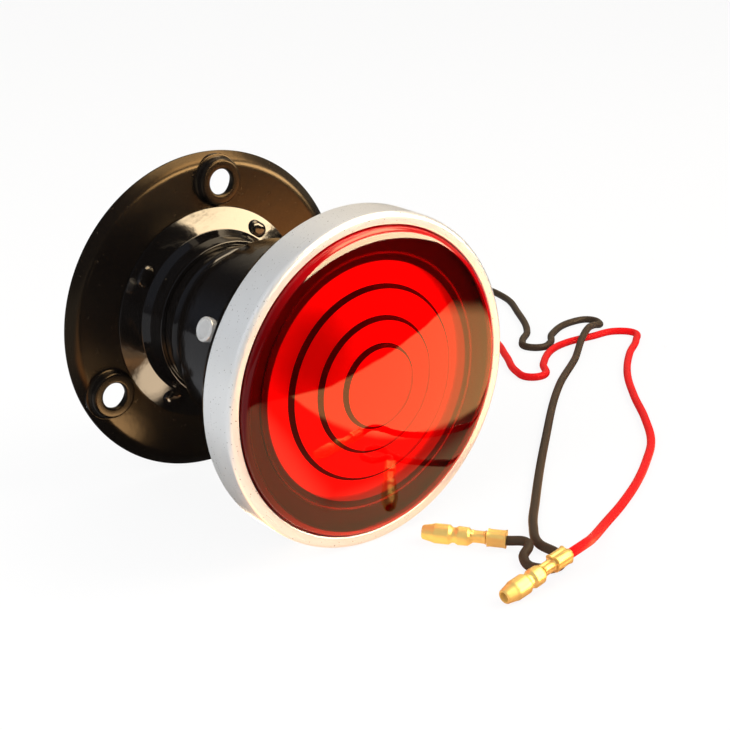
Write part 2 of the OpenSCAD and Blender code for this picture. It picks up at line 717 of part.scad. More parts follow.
// Ring terminal under the strap's cross plate, with its barrel square to the strap
module earth_terminal() {
    low = strap_back_z - terminal_t;
    color("#c8b26a") lying() translate([earth_place[0], earth_place[1], 0]) rotate([0, 0, side_angle]) {
        difference() {
            union() {
                translate([0, 0, low]) cylinder(h = terminal_t, r = terminal_r);
                translate([-lead_r, terminal_r / 2, low])
                    cube([lead_d, terminal_reach - terminal_barrel / 2 - terminal_r, terminal_t]);
            }
            translate([0, 0, low - 1]) cylinder(h = terminal_t + 2, d = screw_d + 2 * slip);
        }
        translate([0, terminal_reach, strap_back_z - lead_r - slip]) rotate([90, 0, 0])
            cylinder(h = terminal_barrel, r = lead_r);
    }
}
module earth_screw() {
    head_z = strap_back_z - terminal_t - screw_head_h;
    color("#a8aab0") lying() translate([earth_place[0], earth_place[1], head_z]) {
        cylinder(h = screw_head_h, d = screw_head_d);
        cylinder(h = screw_head_h + terminal_t + strap_t + 2, d = screw_d);
    }
}

// Leads on the floor
module red_lead() {
    color("#e01414") swept(route(red_exit, red_points, red_end, red_heading), lead_r, 8);
}
module black_lead() {
    color("#3a2e26") swept(route(black_exit, black_points, black_end, black_heading), lead_r, 8);
}
// Brass bullet: crimped barrels over the lead, then a waisted plug with an open tip
module crimp(r, length) {
    linear_extrude(length) {
        circle(r);
        for (side = [-1, 1]) translate([side * r * 0.5, r * 0.55]) circle(r * 0.6);
    }
}
module bullet() {
    bore = bullet_bore_d / 2;
    tip = bullet_tip_d / 2;
    waist = bullet_r - waist_depth;
    swell_end = swell_z + swell_l;
    crimp(sleeve_crimp_r, sleeve_crimp_l);
    translate([0, 0, sleeve_crimp_l - 0.1]) cylinder(h = wire_crimp_z - sleeve_crimp_l + 0.2, r = lead_r);
    translate([0, 0, wire_crimp_z]) crimp(wire_crimp_r, wire_crimp_l);
    rotate_extrude() polygon([
        [0, swell_z], [1.5, swell_z], [swell_r - 0.05, swell_z + 1.1], [swell_r, swell_end],
        [waist, swell_end + 0.8], [waist, swell_end + 1.4], [bullet_r, swell_end + 2.2],
        [bullet_r, bullet_l - 3.2], [bullet_r - 0.25, bullet_l - 2.4], [tip, bullet_l - 0.3],
        [tip - 0.15, bullet_l], [bore, bullet_l], [bore, bullet_l - bore_depth], [0, bullet_l - bore_depth]
    ]);
}
// Turns the bullet's axis from +Z to a heading
module pointed(end, direction) {
    d = unit(direction);
    translate(end) rotate([0, 90 - asin(d[2]), atan2(d[1], d[0])]) rotate([0, 0, 90]) children();
}
module red_bullet() {
    color("#d9a441") pointed(red_end, red_heading) bullet();
}
module black_bullet() {
    color("#d9a441") pointed(black_end, black_heading) bullet();
}

mounting_flange();
collar();
foot_rivets();
bell();
side_rivets();
socket_strap();
socket_shell();
contact_spring();
contact_disc();
contact_button();
bulb_cap();
bulb_pins();
bulb_contact();
bulb_glass();
bulb_stem();
bulb_filament();
reflector();
lens_gasket();
lens();
rim();
grommet();
red_inner_lead();
black_inner_lead();
earth_terminal();
earth_screw();
red_lead();
black_lead();
red_bullet();
black_bullet();
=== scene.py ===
# Round motorcycle tail light: a glossy black spun bell on a three-hole flange, a satin rim, a red pressed
# lens with a stepped back, and two leads that end in brass bullets. It lies on its side on a pale floor.
import math
import bmesh
import bpy
from mathutils import Matrix, Vector


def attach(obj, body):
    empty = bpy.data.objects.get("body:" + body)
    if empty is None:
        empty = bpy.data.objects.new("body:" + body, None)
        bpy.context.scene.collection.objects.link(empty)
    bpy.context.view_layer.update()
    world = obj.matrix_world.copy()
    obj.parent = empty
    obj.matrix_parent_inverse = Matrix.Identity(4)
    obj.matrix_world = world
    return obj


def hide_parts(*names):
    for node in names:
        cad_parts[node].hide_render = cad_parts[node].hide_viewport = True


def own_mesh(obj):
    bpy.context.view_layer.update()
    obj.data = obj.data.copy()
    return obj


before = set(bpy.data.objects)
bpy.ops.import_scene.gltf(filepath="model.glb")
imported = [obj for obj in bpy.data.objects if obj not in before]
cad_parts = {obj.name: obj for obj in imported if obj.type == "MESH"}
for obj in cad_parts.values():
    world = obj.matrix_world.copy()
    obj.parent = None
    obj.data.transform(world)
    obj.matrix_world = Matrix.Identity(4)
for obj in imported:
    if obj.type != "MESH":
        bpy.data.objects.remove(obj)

bl_info = {
    "name": "Bullet Tail Light",
    "version": (1, 0, 0),
    "blender": (4, 5, 0),
    "location": "View3D > Sidebar > Tail Light",
    "description": "Builds a round tail light with its leads, its finishes and a pale studio",
    "category": "Object",
}

MM = 0.001
SAME = 1e-6  # metres within which two points count as one
SHARP = 32.0  # degrees above which an edge between faces stays sharp
HANDLE = 0.36  # length of a curve's handle as a share of the way to the next point
WHITE = (1.0, 1.0, 1.0, 1.0)


# Sizes and looks that a user would change
def size_field(name, description, default):
    return bpy.props.FloatProperty(name=name, description=description, default=default, unit="LENGTH")


def angle_field(name, description, degrees):
    return bpy.props.FloatProperty(
        name=name, description=description, default=math.radians(degrees), subtype="ANGLE")


def colour_field(name, description, default):
    return bpy.props.FloatVectorProperty(
        name=name, description=description, default=default, subtype="COLOR", min=0, max=1)


class LampSizes(bpy.types.PropertyGroup):
    rim_radius: size_field("Rim radius", "Outer radius of the satin rim", 0.0412525)
    tilt: angle_field("Nose tilt", "Angle by which the lamp lies nose down on its two rims", 1.44903)
    axis_y: size_field("Flange place", "Distance of the flange's back behind the middle", 0.036885844)
    axis_z: size_field("Axis height", "Height of the lamp's axis at the flange's back", 0.042986249)
    boss_count: bpy.props.IntProperty(
        name="Mounting bosses", description="Number of bosses round the flange", default=3, min=2, max=3)
    rivet_count: bpy.props.IntProperty(
        name="Foot rivets", description="Number of rivets in the collar's foot", default=4, min=3, max=6)
    spring_turns: bpy.props.FloatProperty(
        name="Spring turns", description="Turns of the spring behind the contact", default=4.0)


class LeadSizes(bpy.types.PropertyGroup):
    diameter: size_field("Lead diameter", "Diameter of a lead over its sleeve", 0.0024)
    bullet_length: size_field("Bullet length", "Length of a bullet connector", 0.0207)
    bullet_radius: size_field("Bullet radius", "Radius of a bullet's barrel", 0.00245)


class LampLooks(bpy.types.PropertyGroup):
    paint: colour_field("Paint", "Colour of the black enamel", (0.0045, 0.0036, 0.0032))
    aluminium: colour_field("Aluminium", "Colour of the satin rim", (0.83, 0.83, 0.82))
    glass: colour_field("Glass", "Colour of the red lens", (0.93, 0.0012, 0.0008))
    brass: colour_field("Brass", "Colour of the bullets", (0.95, 0.70, 0.21))
    red_sleeve: colour_field("Red sleeve", "Colour of the live lead", (0.80, 0.004, 0.006))
    black_sleeve: colour_field("Black sleeve", "Colour of the earth lead", (0.045, 0.030, 0.019))


class StudioLooks(bpy.types.PropertyGroup):
    azimuth: angle_field("Camera heading", "Heading of the camera from the lens side towards the right", 38.866)
    elevation: angle_field("Camera fall", "Angle by which the camera looks down", 18.489)
    roll: angle_field("Camera roll", "Turn of the camera round its own line", 0.145)
    place: bpy.props.FloatVectorProperty(
        name="Camera place", description="Where the camera stands", default=(-0.22496, -0.30926, 0.16492),
        subtype="TRANSLATION")
    focal: bpy.props.FloatProperty(
        name="Focal length", description="Focal length in millimetres on a 36 mm sensor", default=79.12)
    floor: colour_field("Floor", "Colour of the floor", (0.90, 0.90, 0.90))


def sizes(): return bpy.context.scene.lamp_sizes


def leads(): return bpy.context.scene.lead_sizes


def looks(): return bpy.context.scene.lamp_looks


def studio(): return bpy.context.scene.studio_looks


# Expressions on sockets, and one way to add any node
class Value:
    """A socket that takes part in Python expressions; each operator adds a Math node."""

    def __init__(self, finish, socket):
        self.finish, self.socket = finish, socket

    def maths(self, operation, *others):
        return self.finish.maths(operation, self, *others)

    def __add__(self, other): return self.maths("ADD", other)
    def __sub__(self, other): return self.maths("SUBTRACT", other)
    def __mul__(self, other): return self.maths("MULTIPLY", other)
    def __radd__(self, other): return self.maths("ADD", other)
    def __rsub__(self, other): return self.finish.maths("SUBTRACT", other, self)
    def __rmul__(self, other): return self.maths("MULTIPLY", other)
    def root(self): return self.maths("SQRT")
    def most(self, other): return self.maths("MAXIMUM", other)

    def between(self, low, high):
        """0 below low, 1 above high, smooth in between."""
        return self.finish.add("ShaderNodeMapRange", {"interpolation_type": "SMOOTHSTEP"},
                               {"Value": self, "From Min": low, "From Max": high})


class Finish:
    """The node tree of a material, of the world or of a repeated shape."""

    def __init__(self, tree, material=None):
        self.tree, self.material = tree, material
        tree.nodes.clear()

    def add(self, kind, settings=None, values=None, output=0):
        """Any node: its settings first, then the values or links of its sockets."""
        node = self.tree.nodes.new(kind)
        for name, setting in (settings or {}).items():
            setattr(node, name, setting)
        for name, value in (values or {}).items():
            if isinstance(value, Value):
                self.tree.links.new(value.socket, node.inputs[name])
            else:
                node.inputs[name].default_value = value
        return Value(self, node.outputs[output]) if node.outputs else None

    def out(self, value, name):
        """Another output of the node that a value comes from."""
        return Value(self, value.socket.node.outputs[name])

    def maths(self, operation, *values):
        return self.add("ShaderNodeMath", {"operation": operation}, dict(enumerate(values)))

    def colour_mix(self, share, first, second):
        first, second = (tone if isinstance(tone, Value) else (*tone, 1.0) for tone in (first, second))
        return self.add("ShaderNodeMix", {"data_type": "RGBA"}, {"Factor": share, 6: first, 7: second}, 2)

    def split(self, vector):
        """The x, y and z of a vector."""
        parts = self.add("ShaderNodeSeparateXYZ", None, {"Vector": vector})
        return [self.out(parts, name) for name in "XYZ"]

    def place(self):
        return self.out(self.add("ShaderNodeTexCoord"), "Object")

    def noise(self, where, scale, detail=2.0, roughness=0.5):
        return self.add("ShaderNodeTexNoise", None,
                        {"Vector": where, "Scale": scale, "Detail": detail, "Roughness": roughness})

    def bump(self, height, depth):
        return self.add("ShaderNodeBump", None, {"Height": height, "Distance": depth})

    def in_view(self):
        """1 for rays by which the camera sees a surface, through glass and in gloss too, and 0 for others."""
        path = self.add("ShaderNodeLightPath")
        camera, glass, gloss = (self.out(path, f"Is {ray} Ray") for ray in ("Camera", "Transmission", "Glossy"))
        return camera.most(glass).most(gloss)

    def done(self, shader):
        self.add("ShaderNodeOutputMaterial", None, {"Surface": shader})
        return self.material

    def surface(self, values):
        return self.done(self.add("ShaderNodeBsdfPrincipled", None, values))

    def glow(self, tone):
        return self.done(self.add("ShaderNodeEmission", None, {"Color": tone, "Strength": 1.0}))


def new_finish(name):
    material = bpy.data.materials.new(name)
    material.use_nodes = True
    return Finish(material.node_tree, material)


def shade(colour, share):
    """A colour times a share, no brighter than 1."""
    return [min(c * share, 1.0) for c in colour]


def lamp_axes(f):
    """Distance from the lamp's axis, height along it and the angle round it, from Object coordinates."""
    s = sizes()
    x, y, z = f.split(f.add("ShaderNodeVectorRotate", {"rotation_type": "X_AXIS", "invert": True}, {
        "Vector": f.place(), "Center": (0, s.axis_y, s.axis_z), "Angle": math.pi / 2 + s.tilt}))
    y, z = y - s.axis_y, z - s.axis_z
    return (x * x + y * y).root(), z, y.maths("ARCTAN2", x)


# Finishes
def black_enamel(name, roughness, gloss, tint):
    """Black enamel with faint orange peel and grime; the tint colours what it mirrors, so a warm tint is a
    painted warm reflection.
    """
    f = new_finish(name)
    place, paint = f.place(), looks().paint
    cloud, peel = f.noise(place, 55.0, 4.0), f.noise(place, 420.0, 2.0, 0.4)
    grime = f.noise(place, 900.0).between(0.66, 0.80)
    tone = f.colour_mix(cloud, shade(paint, 0.7), shade(paint, 1.3))
    return f.surface({
        "Base Color": f.colour_mix(grime * 0.25, tone, (0.035, 0.028, 0.022)),
        "Roughness": roughness + cloud * 0.07 + grime * 0.12, "IOR": 1.55, "Specular IOR Level": gloss,
        "Specular Tint": (*tint, 1.0), "Normal": f.bump(peel, 0.00003)})


def satin_aluminium():
    """Aluminium with fine turning lines round the lamp's axis and small dark specks."""
    f = new_finish("satin_aluminium")
    r, z, angle = lamp_axes(f)
    rings = f.add("ShaderNodeCombineXYZ", None, {"X": r * 9000.0, "Y": z * 9000.0, "Z": angle * 3.0})
    lines, cloud = f.noise(rings, 1.0, 3.0), f.noise(f.place(), 90.0, 3.0)
    speck = f.noise(f.place(), 1900.0, 1.0).between(0.70, 0.76)
    tone = f.colour_mix(cloud, shade(looks().aluminium, 0.93), shade(looks().aluminium, 1.04))
    return f.surface({
        "Base Color": f.colour_mix(speck * 0.7, tone, (0.16, 0.13, 0.10)), "Metallic": 0.55 - speck * 0.3,
        "Roughness": 0.24 + lines * 0.12 + speck * 0.2, "Normal": f.bump(lines, 0.000012)})


def red_glass(name, roughness, glow=0.0):
    """Red glass; glow is painted red light of its own, which keeps the disc seen through the pressed back
    bright.
    """
    f = new_finish(name)
    ripple = f.noise(f.place(), 60.0)
    return f.surface({
        "Base Color": (*looks().glass, 1.0), "Roughness": roughness + ripple * 0.01,
        "Transmission Weight": 1.0, "IOR": 1.49, "Specular IOR Level": 0.9,
        "Emission Color": (1.0, 0.001, 0.001, 1.0), "Emission Strength": glow,
        "Normal": f.bump(ripple, 0.00004)})


def glass_in_painted_tone(name, colour, roughness, even):
    """Glass drawn as one opaque tone, painted in place of the light and shade seen through it; unless it is
    even, painted shade darkens it towards the lamp's left side.
    """
    f = new_finish(name)
    place = f.place()
    cloud = f.noise(place, 120.0)
    # painted shade: darker towards the lamp's left side unless even
    light = f.split(place)[0].between(-0.036, -0.004).most(even)
    tone = f.colour_mix(light, shade(colour, 0.12), f.colour_mix(cloud, shade(colour, 0.8), shade(colour, 1.2)))
    return f.surface({"Base Color": tone, "Roughness": roughness + cloud * 0.03, "IOR": 1.49})


def clear_glass():
    f = new_finish("clear_glass")
    return f.surface({"Base Color": (0.96, 0.98, 0.97, 1.0), "Roughness": f.noise(f.place(), 140.0, 3.0) * 0.04,
                      "Transmission Weight": 1.0, "IOR": 1.5})


def metal(name, colour, dark, roughness, body=0.0, wear=0.5, glow=0.0):
    """A bare metal with darker tarnish and fine marks; body scatters like a solid, glow is painted light of its
    own.
    """
    f = new_finish(name)
    place = f.place()
    cloud, marks = f.noise(place, 160.0, 4.0), f.noise(place, 2240.0)
    tarnish = cloud.between(0.42, 0.72) * wear
    tone = f.colour_mix(tarnish, colour, dark)
    return f.surface({
        "Base Color": tone, "Metallic": 1.0 - body - tarnish * 0.2,
        "Roughness": roughness + cloud * 0.10 + marks * 0.08, "Normal": f.bump(marks, 0.00002),
        "Emission Color": tone, "Emission Strength": glow})


def black_rubber():
    f = new_finish("black_rubber")
    place = f.place()
    dust = f.noise(place, 300.0, 3.0).between(0.50, 0.75)
    return f.surface({
        "Base Color": f.colour_mix(dust * 0.5, (0.012, 0.011, 0.010), (0.030, 0.028, 0.026)),
        "Roughness": 0.6 + dust * 0.15, "Normal": f.bump(f.noise(place, 2600.0), 0.00002)})


def sleeve(name, colour):
    """Soft plastic sleeve of a lead, with faint dents and finger marks."""
    f = new_finish(name)
    place = f.place()
    cloud, dents = f.noise(place, 130.0, 3.0), f.noise(place, 700.0)
    dust = f.noise(place, 2200.0).between(0.60, 0.80)
    tone = f.colour_mix(cloud, shade(colour, 0.85), shade(colour, 1.12))
    return f.surface({
        "Base Color": f.colour_mix(dust * 0.12, tone, (0.30, 0.24, 0.18)),
        "Roughness": 0.38 + cloud * 0.12 + dust * 0.1, "Specular IOR Level": 0.12,
        "Normal": f.bump(dents, 0.00003)})


def phenolic():
    f = new_finish("phenolic")
    paper = f.noise(f.place(), 500.0, 4.0)
    return f.surface({
        "Base Color": f.colour_mix(paper, (0.16, 0.055, 0.022), (0.26, 0.10, 0.045)),
        "Roughness": 0.42 + paper * 0.15, "Normal": f.bump(paper, 0.00002)})


FINISHES = {}


def finish_for(slot):
    """The material of one of the record's slots, made once."""
    look = looks()
    makers = {
        "black_paint": (black_enamel, "black_enamel", 0.05, 0.55, (1.0, 1.0, 1.0)),
        # the soft enamel's warm tint paints a warm reflection into its gloss
        "black_paint_soft": (black_enamel, "black_enamel_soft", 0.19, 0.36, (1.0, 0.72, 0.40)),
        "satin_aluminium": (satin_aluminium,),
        # the reflector's glow of 0.35 is painted light, which keeps the bowl bright behind the lens
        "polished_aluminium": (metal, "polished_reflector", (0.96, 0.96, 0.95), (0.86, 0.85, 0.84), 0.25,
                               0.8, 0.2, 0.35),
        "red_glass": (red_glass, "red_glass_front", 0.0),
        # the riser's dark tone is painted shade; the edge's bright red is painted light, with painted shade on
        # its left side
        "red_glass_riser": (glass_in_painted_tone, "red_glass_riser", (0.030, 0.0010, 0.0008), 0.35, 1.0),
        "red_glass_edge": (glass_in_painted_tone, "red_glass_edge", (0.60, 0.0014, 0.0040), 0.06, 0.0),
        "red_glass_back": (red_glass, "red_glass_back", 0.30),
        # the bright back's glow is painted light
        "red_glass_bright": (red_glass, "red_glass_bright", 0.36, 0.36),
        "clear_glass": (clear_glass,),
        "brass": (metal, "brass", look.brass, shade(look.brass, 0.7), 0.30, 0.35),
        "bright_steel": (metal, "bright_steel", (0.78, 0.77, 0.75), (0.52, 0.51, 0.49), 0.28, 0.4),
        "zinc_steel": (metal, "zinc_steel", (0.66, 0.67, 0.70), (0.36, 0.36, 0.36), 0.34),
        "spring_steel": (metal, "spring_steel", (0.50, 0.50, 0.51), (0.25, 0.24, 0.23), 0.30),
        "solder": (metal, "solder", (0.74, 0.74, 0.75), (0.46, 0.46, 0.47), 0.28),
        "phenolic": (phenolic,),
        "black_rubber": (black_rubber,),
        "red_sleeve": (sleeve, "red_sleeve", look.red_sleeve),
        "black_sleeve": (sleeve, "black_sleeve", look.black_sleeve),
    }
    if slot not in FINISHES:
        maker, *values = makers[slot]
        FINISHES[slot] = maker(*values)
    return FINISHES[slot]


# Outlines, round pieces and their place on the lamp
def lying():
    """From the lamp's own axis to the way it lies on the floor."""
    s = sizes()
    return Matrix.Translation((0, s.axis_y, s.axis_z)) @ Matrix.Rotation(math.pi / 2 + s.tilt, 4, "X")


def arc(centre, radius, start, end, steps):
    return [(centre[0] + radius * math.cos(math.radians(start + (end - start) * i / steps)),
             centre[1] + radius * math.sin(math.radians(start + (end - start) * i / steps)))
            for i in range(steps + 1)]


def rounded(corners, steps=4):
    """A closed outline from (r, z, rounding) corners, each rounded with an arc; a rounding of 0 stays sharp."""
    points = []
    count = len(corners)
    for i, (r, z, rounding) in enumerate(corners):
        here = Vector((r, z))
        before = Vector(corners[i - 1][:2]) - here
        after = Vector(corners[(i + 1) % count][:2]) - here
        turn = before.angle(after) if before.length and after.length else math.pi
        if rounding <= 0 or turn > math.radians(178):
            points.append((r, z))
            continue
        cut = min(rounding / math.tan(turn / 2), 0.49 * before.length, 0.49 * after.length)
        first, last = here + before.normalized() * cut, here + after.normalized() * cut
        for k in range(steps + 1):
            t = k / steps
            # a quadratic curve from one cut to the other, pulled to the corner
            points.append(tuple(first * (1 - t) ** 2 + here * 2 * t * (1 - t) + last * t * t))
    return points


def wall(path, thickness):
    """Closed outline of a sheet on the left of a path."""
    inner = []
    for i, point in enumerate(path):
        point = Vector(point)
        before = point - Vector(path[i - 1]) if i else Vector(path[1]) - point
        after = Vector(path[i + 1]) - point if i < len(path) - 1 else before
        a, b = before.normalized(), after.normalized()
        left = Vector((-a.y - b.y, a.x + b.x))
        inner.append(tuple(point + left * thickness / (1 + a.dot(b))))
    return list(path) + inner[::-1]


def ring_of(mesh, radius, z, count):
    """New vertices on a circle round the z axis, in mm."""
    return [mesh.verts.new((radius * MM * math.cos(2 * math.pi * k / count),
                            radius * MM * math.sin(2 * math.pi * k / count), z * MM)) for k in range(count)]


def skin(mesh, rings):
    """Faces from each ring to the next one; a ring may be one point, repeated."""
    for ring, after in zip(rings, rings[1:]):
        for k in range(len(ring)):
            m = (k + 1) % len(ring)
            corners = list(dict.fromkeys([ring[k], ring[m], after[m], after[k]]))
            if len(corners) > 2:
                mesh.faces.new(corners)


def revolve(outline, count):
    """A closed mesh: the outline of (r, z) points in mm turned round the axis."""
    mesh = bmesh.new()
    rings = [ring_of(mesh, r, z, count) if r > SAME / MM else [mesh.verts.new((0, 0, z * MM))] * count
             for r, z in outline]
    skin(mesh, rings + rings[:1])
    bmesh.ops.recalc_face_normals(mesh, faces=mesh.faces)
    return mesh


# Meshes that become pieces
def data_of(name, mesh):
    """New mesh data from a bmesh, which is freed."""
    data = bpy.data.meshes.new(name)
    mesh.to_mesh(data)
    mesh.free()
    return data


def linked(name, data):
    """A new object of the scene."""
    made = bpy.data.objects.new(name, data)
    bpy.context.scene.collection.objects.link(made)
    return made


def modified(holder, *tools):
    """The mesh that an object's modifiers make; the object and its tools are removed."""
    bpy.context.view_layer.update()
    data = bpy.data.meshes.new_from_object(holder.evaluated_get(bpy.context.evaluated_depsgraph_get()))
    for made in (holder, *tools):
        old = made.data
        bpy.data.objects.remove(made)
        bpy.data.meshes.remove(old)
    return data


def settle(name, mesh, slot, node, sharp=SHARP, body="lamp", matrix=None, more=()):
    """Turns a bmesh into a finished piece, placed in its mesh: as the lamp lies, or by its own matrix."""
    bmesh.ops.transform(mesh, matrix=matrix or lying(), verts=mesh.verts)
    data = data_of(name, mesh)
    for finish in (slot, *more):
        data.materials.append(finish_for(finish))
    return keep(name, data, node, sharp, body)


def keep(name, data, node, sharp, body):
    """An object of finished mesh data, smooth but for its corners, with its body, slot and replaced node."""
    data.polygons.foreach_set("use_smooth", [True] * len(data.polygons))
    data.set_sharp_from_angle(angle=math.radians(sharp))
    piece = linked(name, data)
    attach(piece, body)
    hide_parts(node)
    return piece


def smooth_copy(node, slot, body="lamp"):
    """A merged and smoothly shaded copy of a CAD node, which it replaces."""
    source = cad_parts[node]
    mesh = bmesh.new()
    mesh.from_mesh(source.data)
    mesh.transform(source.matrix_world)
    bmesh.ops.remove_doubles(mesh, verts=mesh.verts, dist=SAME)
    bmesh.ops.dissolve_degenerate(mesh, edges=mesh.edges, dist=SAME)
    return settle(node + "_smooth", mesh, slot, node, SHARP, body, Matrix())


# Node trees that repeat a shape
def geometry_tree(name, inputs):
    """A new geometry tree: its nodes, its inputs as values by name, and the sockets' identifiers by name."""
    tree = bpy.data.node_groups.new(name, "GeometryNodeTree")
    tree.interface.new_socket("Geometry", in_out="INPUT", socket_type="NodeSocketGeometry")
    tree.interface.new_socket("Geometry", in_out="OUTPUT", socket_type="NodeSocketGeometry")
    names = {label: tree.interface.new_socket(label, in_out="INPUT", socket_type="NodeSocket" + kind).identifier
             for label, kind in {**inputs, "Material": "Material"}.items()}
    g = Finish(tree)
    start = g.add("NodeGroupInput")
    return g, {label: g.out(start, label) for label in ("Geometry", *names)}, names


def finish_tree(g, geometry, given):
    """Realize Instances, Set Material and the group's output."""
    real = g.add("GeometryNodeRealizeInstances", None, {"Geometry": geometry})
    g.add("NodeGroupOutput", None, {0: g.add("GeometryNodeSetMaterial", None, {
        "Geometry": real, "Material": given["Material"]})})
    return g.tree


def grown(name, mesh, tree, names, values, slot, node, matrix, body):
    """Runs a geometry tree on a bmesh and keeps the result as a plain mesh, placed on the lamp."""
    holder = linked(name + "_seed", data_of(name + "_seed", mesh))
    modifier = holder.modifiers.new("grow", "NODES")
    modifier.node_group = tree
    for label, value in {**values, "Material": finish_for(slot)}.items():
        modifier[names[label]] = value
    data = modified(holder)
    data.name = name
    if not len(data.polygons):
        raise RuntimeError(f"{name}: the node tree made no faces")
    data.transform(matrix)
    return keep(name, data, node, SHARP, body)


def round_the_axis(name, mesh, slot, count, start, radius, height, node):
    """Copies of a mesh at even steps round the lamp's axis, from an angle in degrees; sizes in mm."""
    g, given, names = geometry_tree("round_the_axis", {
        "Count": "Int", "First Angle": "Float", "Radius": "Float", "Height": "Float"})
    line = g.add("GeometryNodeMeshLine", {"mode": "OFFSET"}, {"Count": given["Count"], "Offset": (0, 0, 0)})
    step = g.maths("DIVIDE", 2 * math.pi, given["Count"])
    angle = given["First Angle"] + g.add("GeometryNodeInputIndex") * step
    where = g.add("ShaderNodeCombineXYZ", None, {
        "X": given["Radius"] * angle.maths("COSINE"), "Y": given["Radius"] * angle.maths("SINE"),
        "Z": given["Height"]})
    put = g.add("GeometryNodeSetPosition", None, {"Geometry": line, "Position": where})
    copies = g.add("GeometryNodeInstanceOnPoints", None, {
        "Points": put, "Instance": given["Geometry"],
        "Rotation": g.add("ShaderNodeCombineXYZ", None, {"Z": angle})})
    return grown(name, mesh, finish_tree(g, copies, given), names, {
        "Count": count, "First Angle": math.radians(start), "Radius": radius * MM, "Height": height * MM},
        slot, node, lying(), "lamp")


def coil(name, turns, radius, length, wire_radius, steps, matrix, body, node):
    """A wire wound into a coil along the z axis, from its own place; lengths in metres."""
    g, given, names = geometry_tree("coil", {
        "Turns": "Float", "Radius": "Float", "Length": "Float", "Wire Radius": "Float", "Steps": "Int"})
    spiral = g.add("GeometryNodeCurveSpiral", None, {
        "Resolution": given["Steps"], "Rotations": given["Turns"], "Start Radius": given["Radius"],
        "End Radius": given["Radius"], "Height": given["Length"]})
    ring = g.add("GeometryNodeCurvePrimitiveCircle", None, {"Resolution": 14, "Radius": given["Wire Radius"]})
    wound = g.add("GeometryNodeCurveToMesh", None, {"Curve": spiral, "Profile Curve": ring, "Fill Caps": True})
    return grown(name, bmesh.new(), finish_tree(g, wound, given), names, {
        "Turns": turns, "Radius": radius, "Length": length, "Wire Radius": wire_radius, "Steps": steps},
        "spring_steel", node, matrix, body)


# The flange and the collar, in mm from the axis and from the flange's back
FACE = 2.2
BOSS_CIRCLE, BOSS_START = 35.5, 87
BOSS_RADIUS, BOSS_TOP, BOSS_FILLET, BOSS_HOLE = 6.1, 4.7, 0.9, 3.4
PLATE_HOLE = 6.95  # a little inside the foot of a boss's fillet, so that no gap shows


def flange_outline():
    return rounded([
        (4.5, FACE, 0.15), (4.5, 1.0, 0.15), (39.8, 1.0, 0), (41.4, 0.0, 0.15), (43.0, 0.0, 0.12),
        (43.0, 0.5, 0.15), (40.4, FACE, 4.5)], 9)


def boss_outline():
    """One boss with a rounded edge, a fillet down to the flange's face and a rounded hole."""
    hole_round, edge_round = 0.55, 0.75
    path = arc((BOSS_HOLE + hole_round, BOSS_TOP - hole_round), hole_round, 180, 90, 8)
    path += arc((BOSS_RADIUS - edge_round, BOSS_TOP - edge_round), edge_round, 90, 0, 8)
    path += arc((BOSS_RADIUS + BOSS_FILLET, FACE + BOSS_FILLET), BOSS_FILLET, 180, 270, 8)
    return path + [(BOSS_RADIUS + BOSS_FILLET, 1.05), (4.9, 1.05), (4.9, 3.5), (BOSS_HOLE, 3.5)]


def cut_by(mesh, cutters):
    """The bmesh less each cutter, by exact booleans."""
    base = linked("cut_base", data_of("cut_base", mesh))
    tools = [linked(f"cutter_{i}", data_of(f"cutter_{i}", cutter)) for i, cutter in enumerate(cutters)]
    for tool in tools:
        modifier = base.modifiers.new("cut", "BOOLEAN")
        modifier.operation, modifier.solver, modifier.object = "DIFFERENCE", "EXACT", tool
    data = modified(base, *tools)
    result = bmesh.new()
    result.from_mesh(data)
    bpy.data.meshes.remove(data)
    return result


class LAMP_OT_flange(bpy.types.Operator):
    """Pressed mounting flange with its raised bosses"""
    bl_idname = "lamp.flange"
    bl_label = "Mounting flange"

    def execute(self, context):
        count = sizes().boss_count
        circle, holes = BOSS_CIRCLE * MM, []
        for i in range(count):
            a = math.radians(BOSS_START) + 2 * math.pi * i / count
            hole = revolve([(0, -1), (PLATE_HOLE, -1), (PLATE_HOLE, 6), (0, 6)], 96)
            bmesh.ops.translate(hole, verts=hole.verts, vec=(circle * math.cos(a), circle * math.sin(a), 0))
            holes.append(hole)
        plate = cut_by(revolve(flange_outline(), 256), holes)
        settle("flange_disc", plate, "black_paint_soft", "mounting_flange", 20.0)
        round_the_axis("flange_bosses", revolve(boss_outline(), 96), "black_paint_soft", count, BOSS_START,
                       BOSS_CIRCLE, 0.0, "mounting_flange")
        return {"FINISHED"}


class LAMP_OT_collar(bpy.types.Operator):
    """Collar with its riveted foot and short wall"""
    bl_idname = "lamp.collar"
    bl_label = "Collar"

    def execute(self, context):
        bore, foot, top = 20.05, 28.6, 10.8
        outline = rounded([
            (bore, FACE, 0), (foot, FACE, 0.05), (foot, FACE + 0.5, 0.15), (22.8, 4.08, 0.3),
            (21.55, 6.4, 1.6), (21.3, top, 0.35), (bore, top, 0.15)], 6)
        settle("collar_ring", revolve(outline, 256), "black_paint", "collar", 28.0)
        return {"FINISHED"}


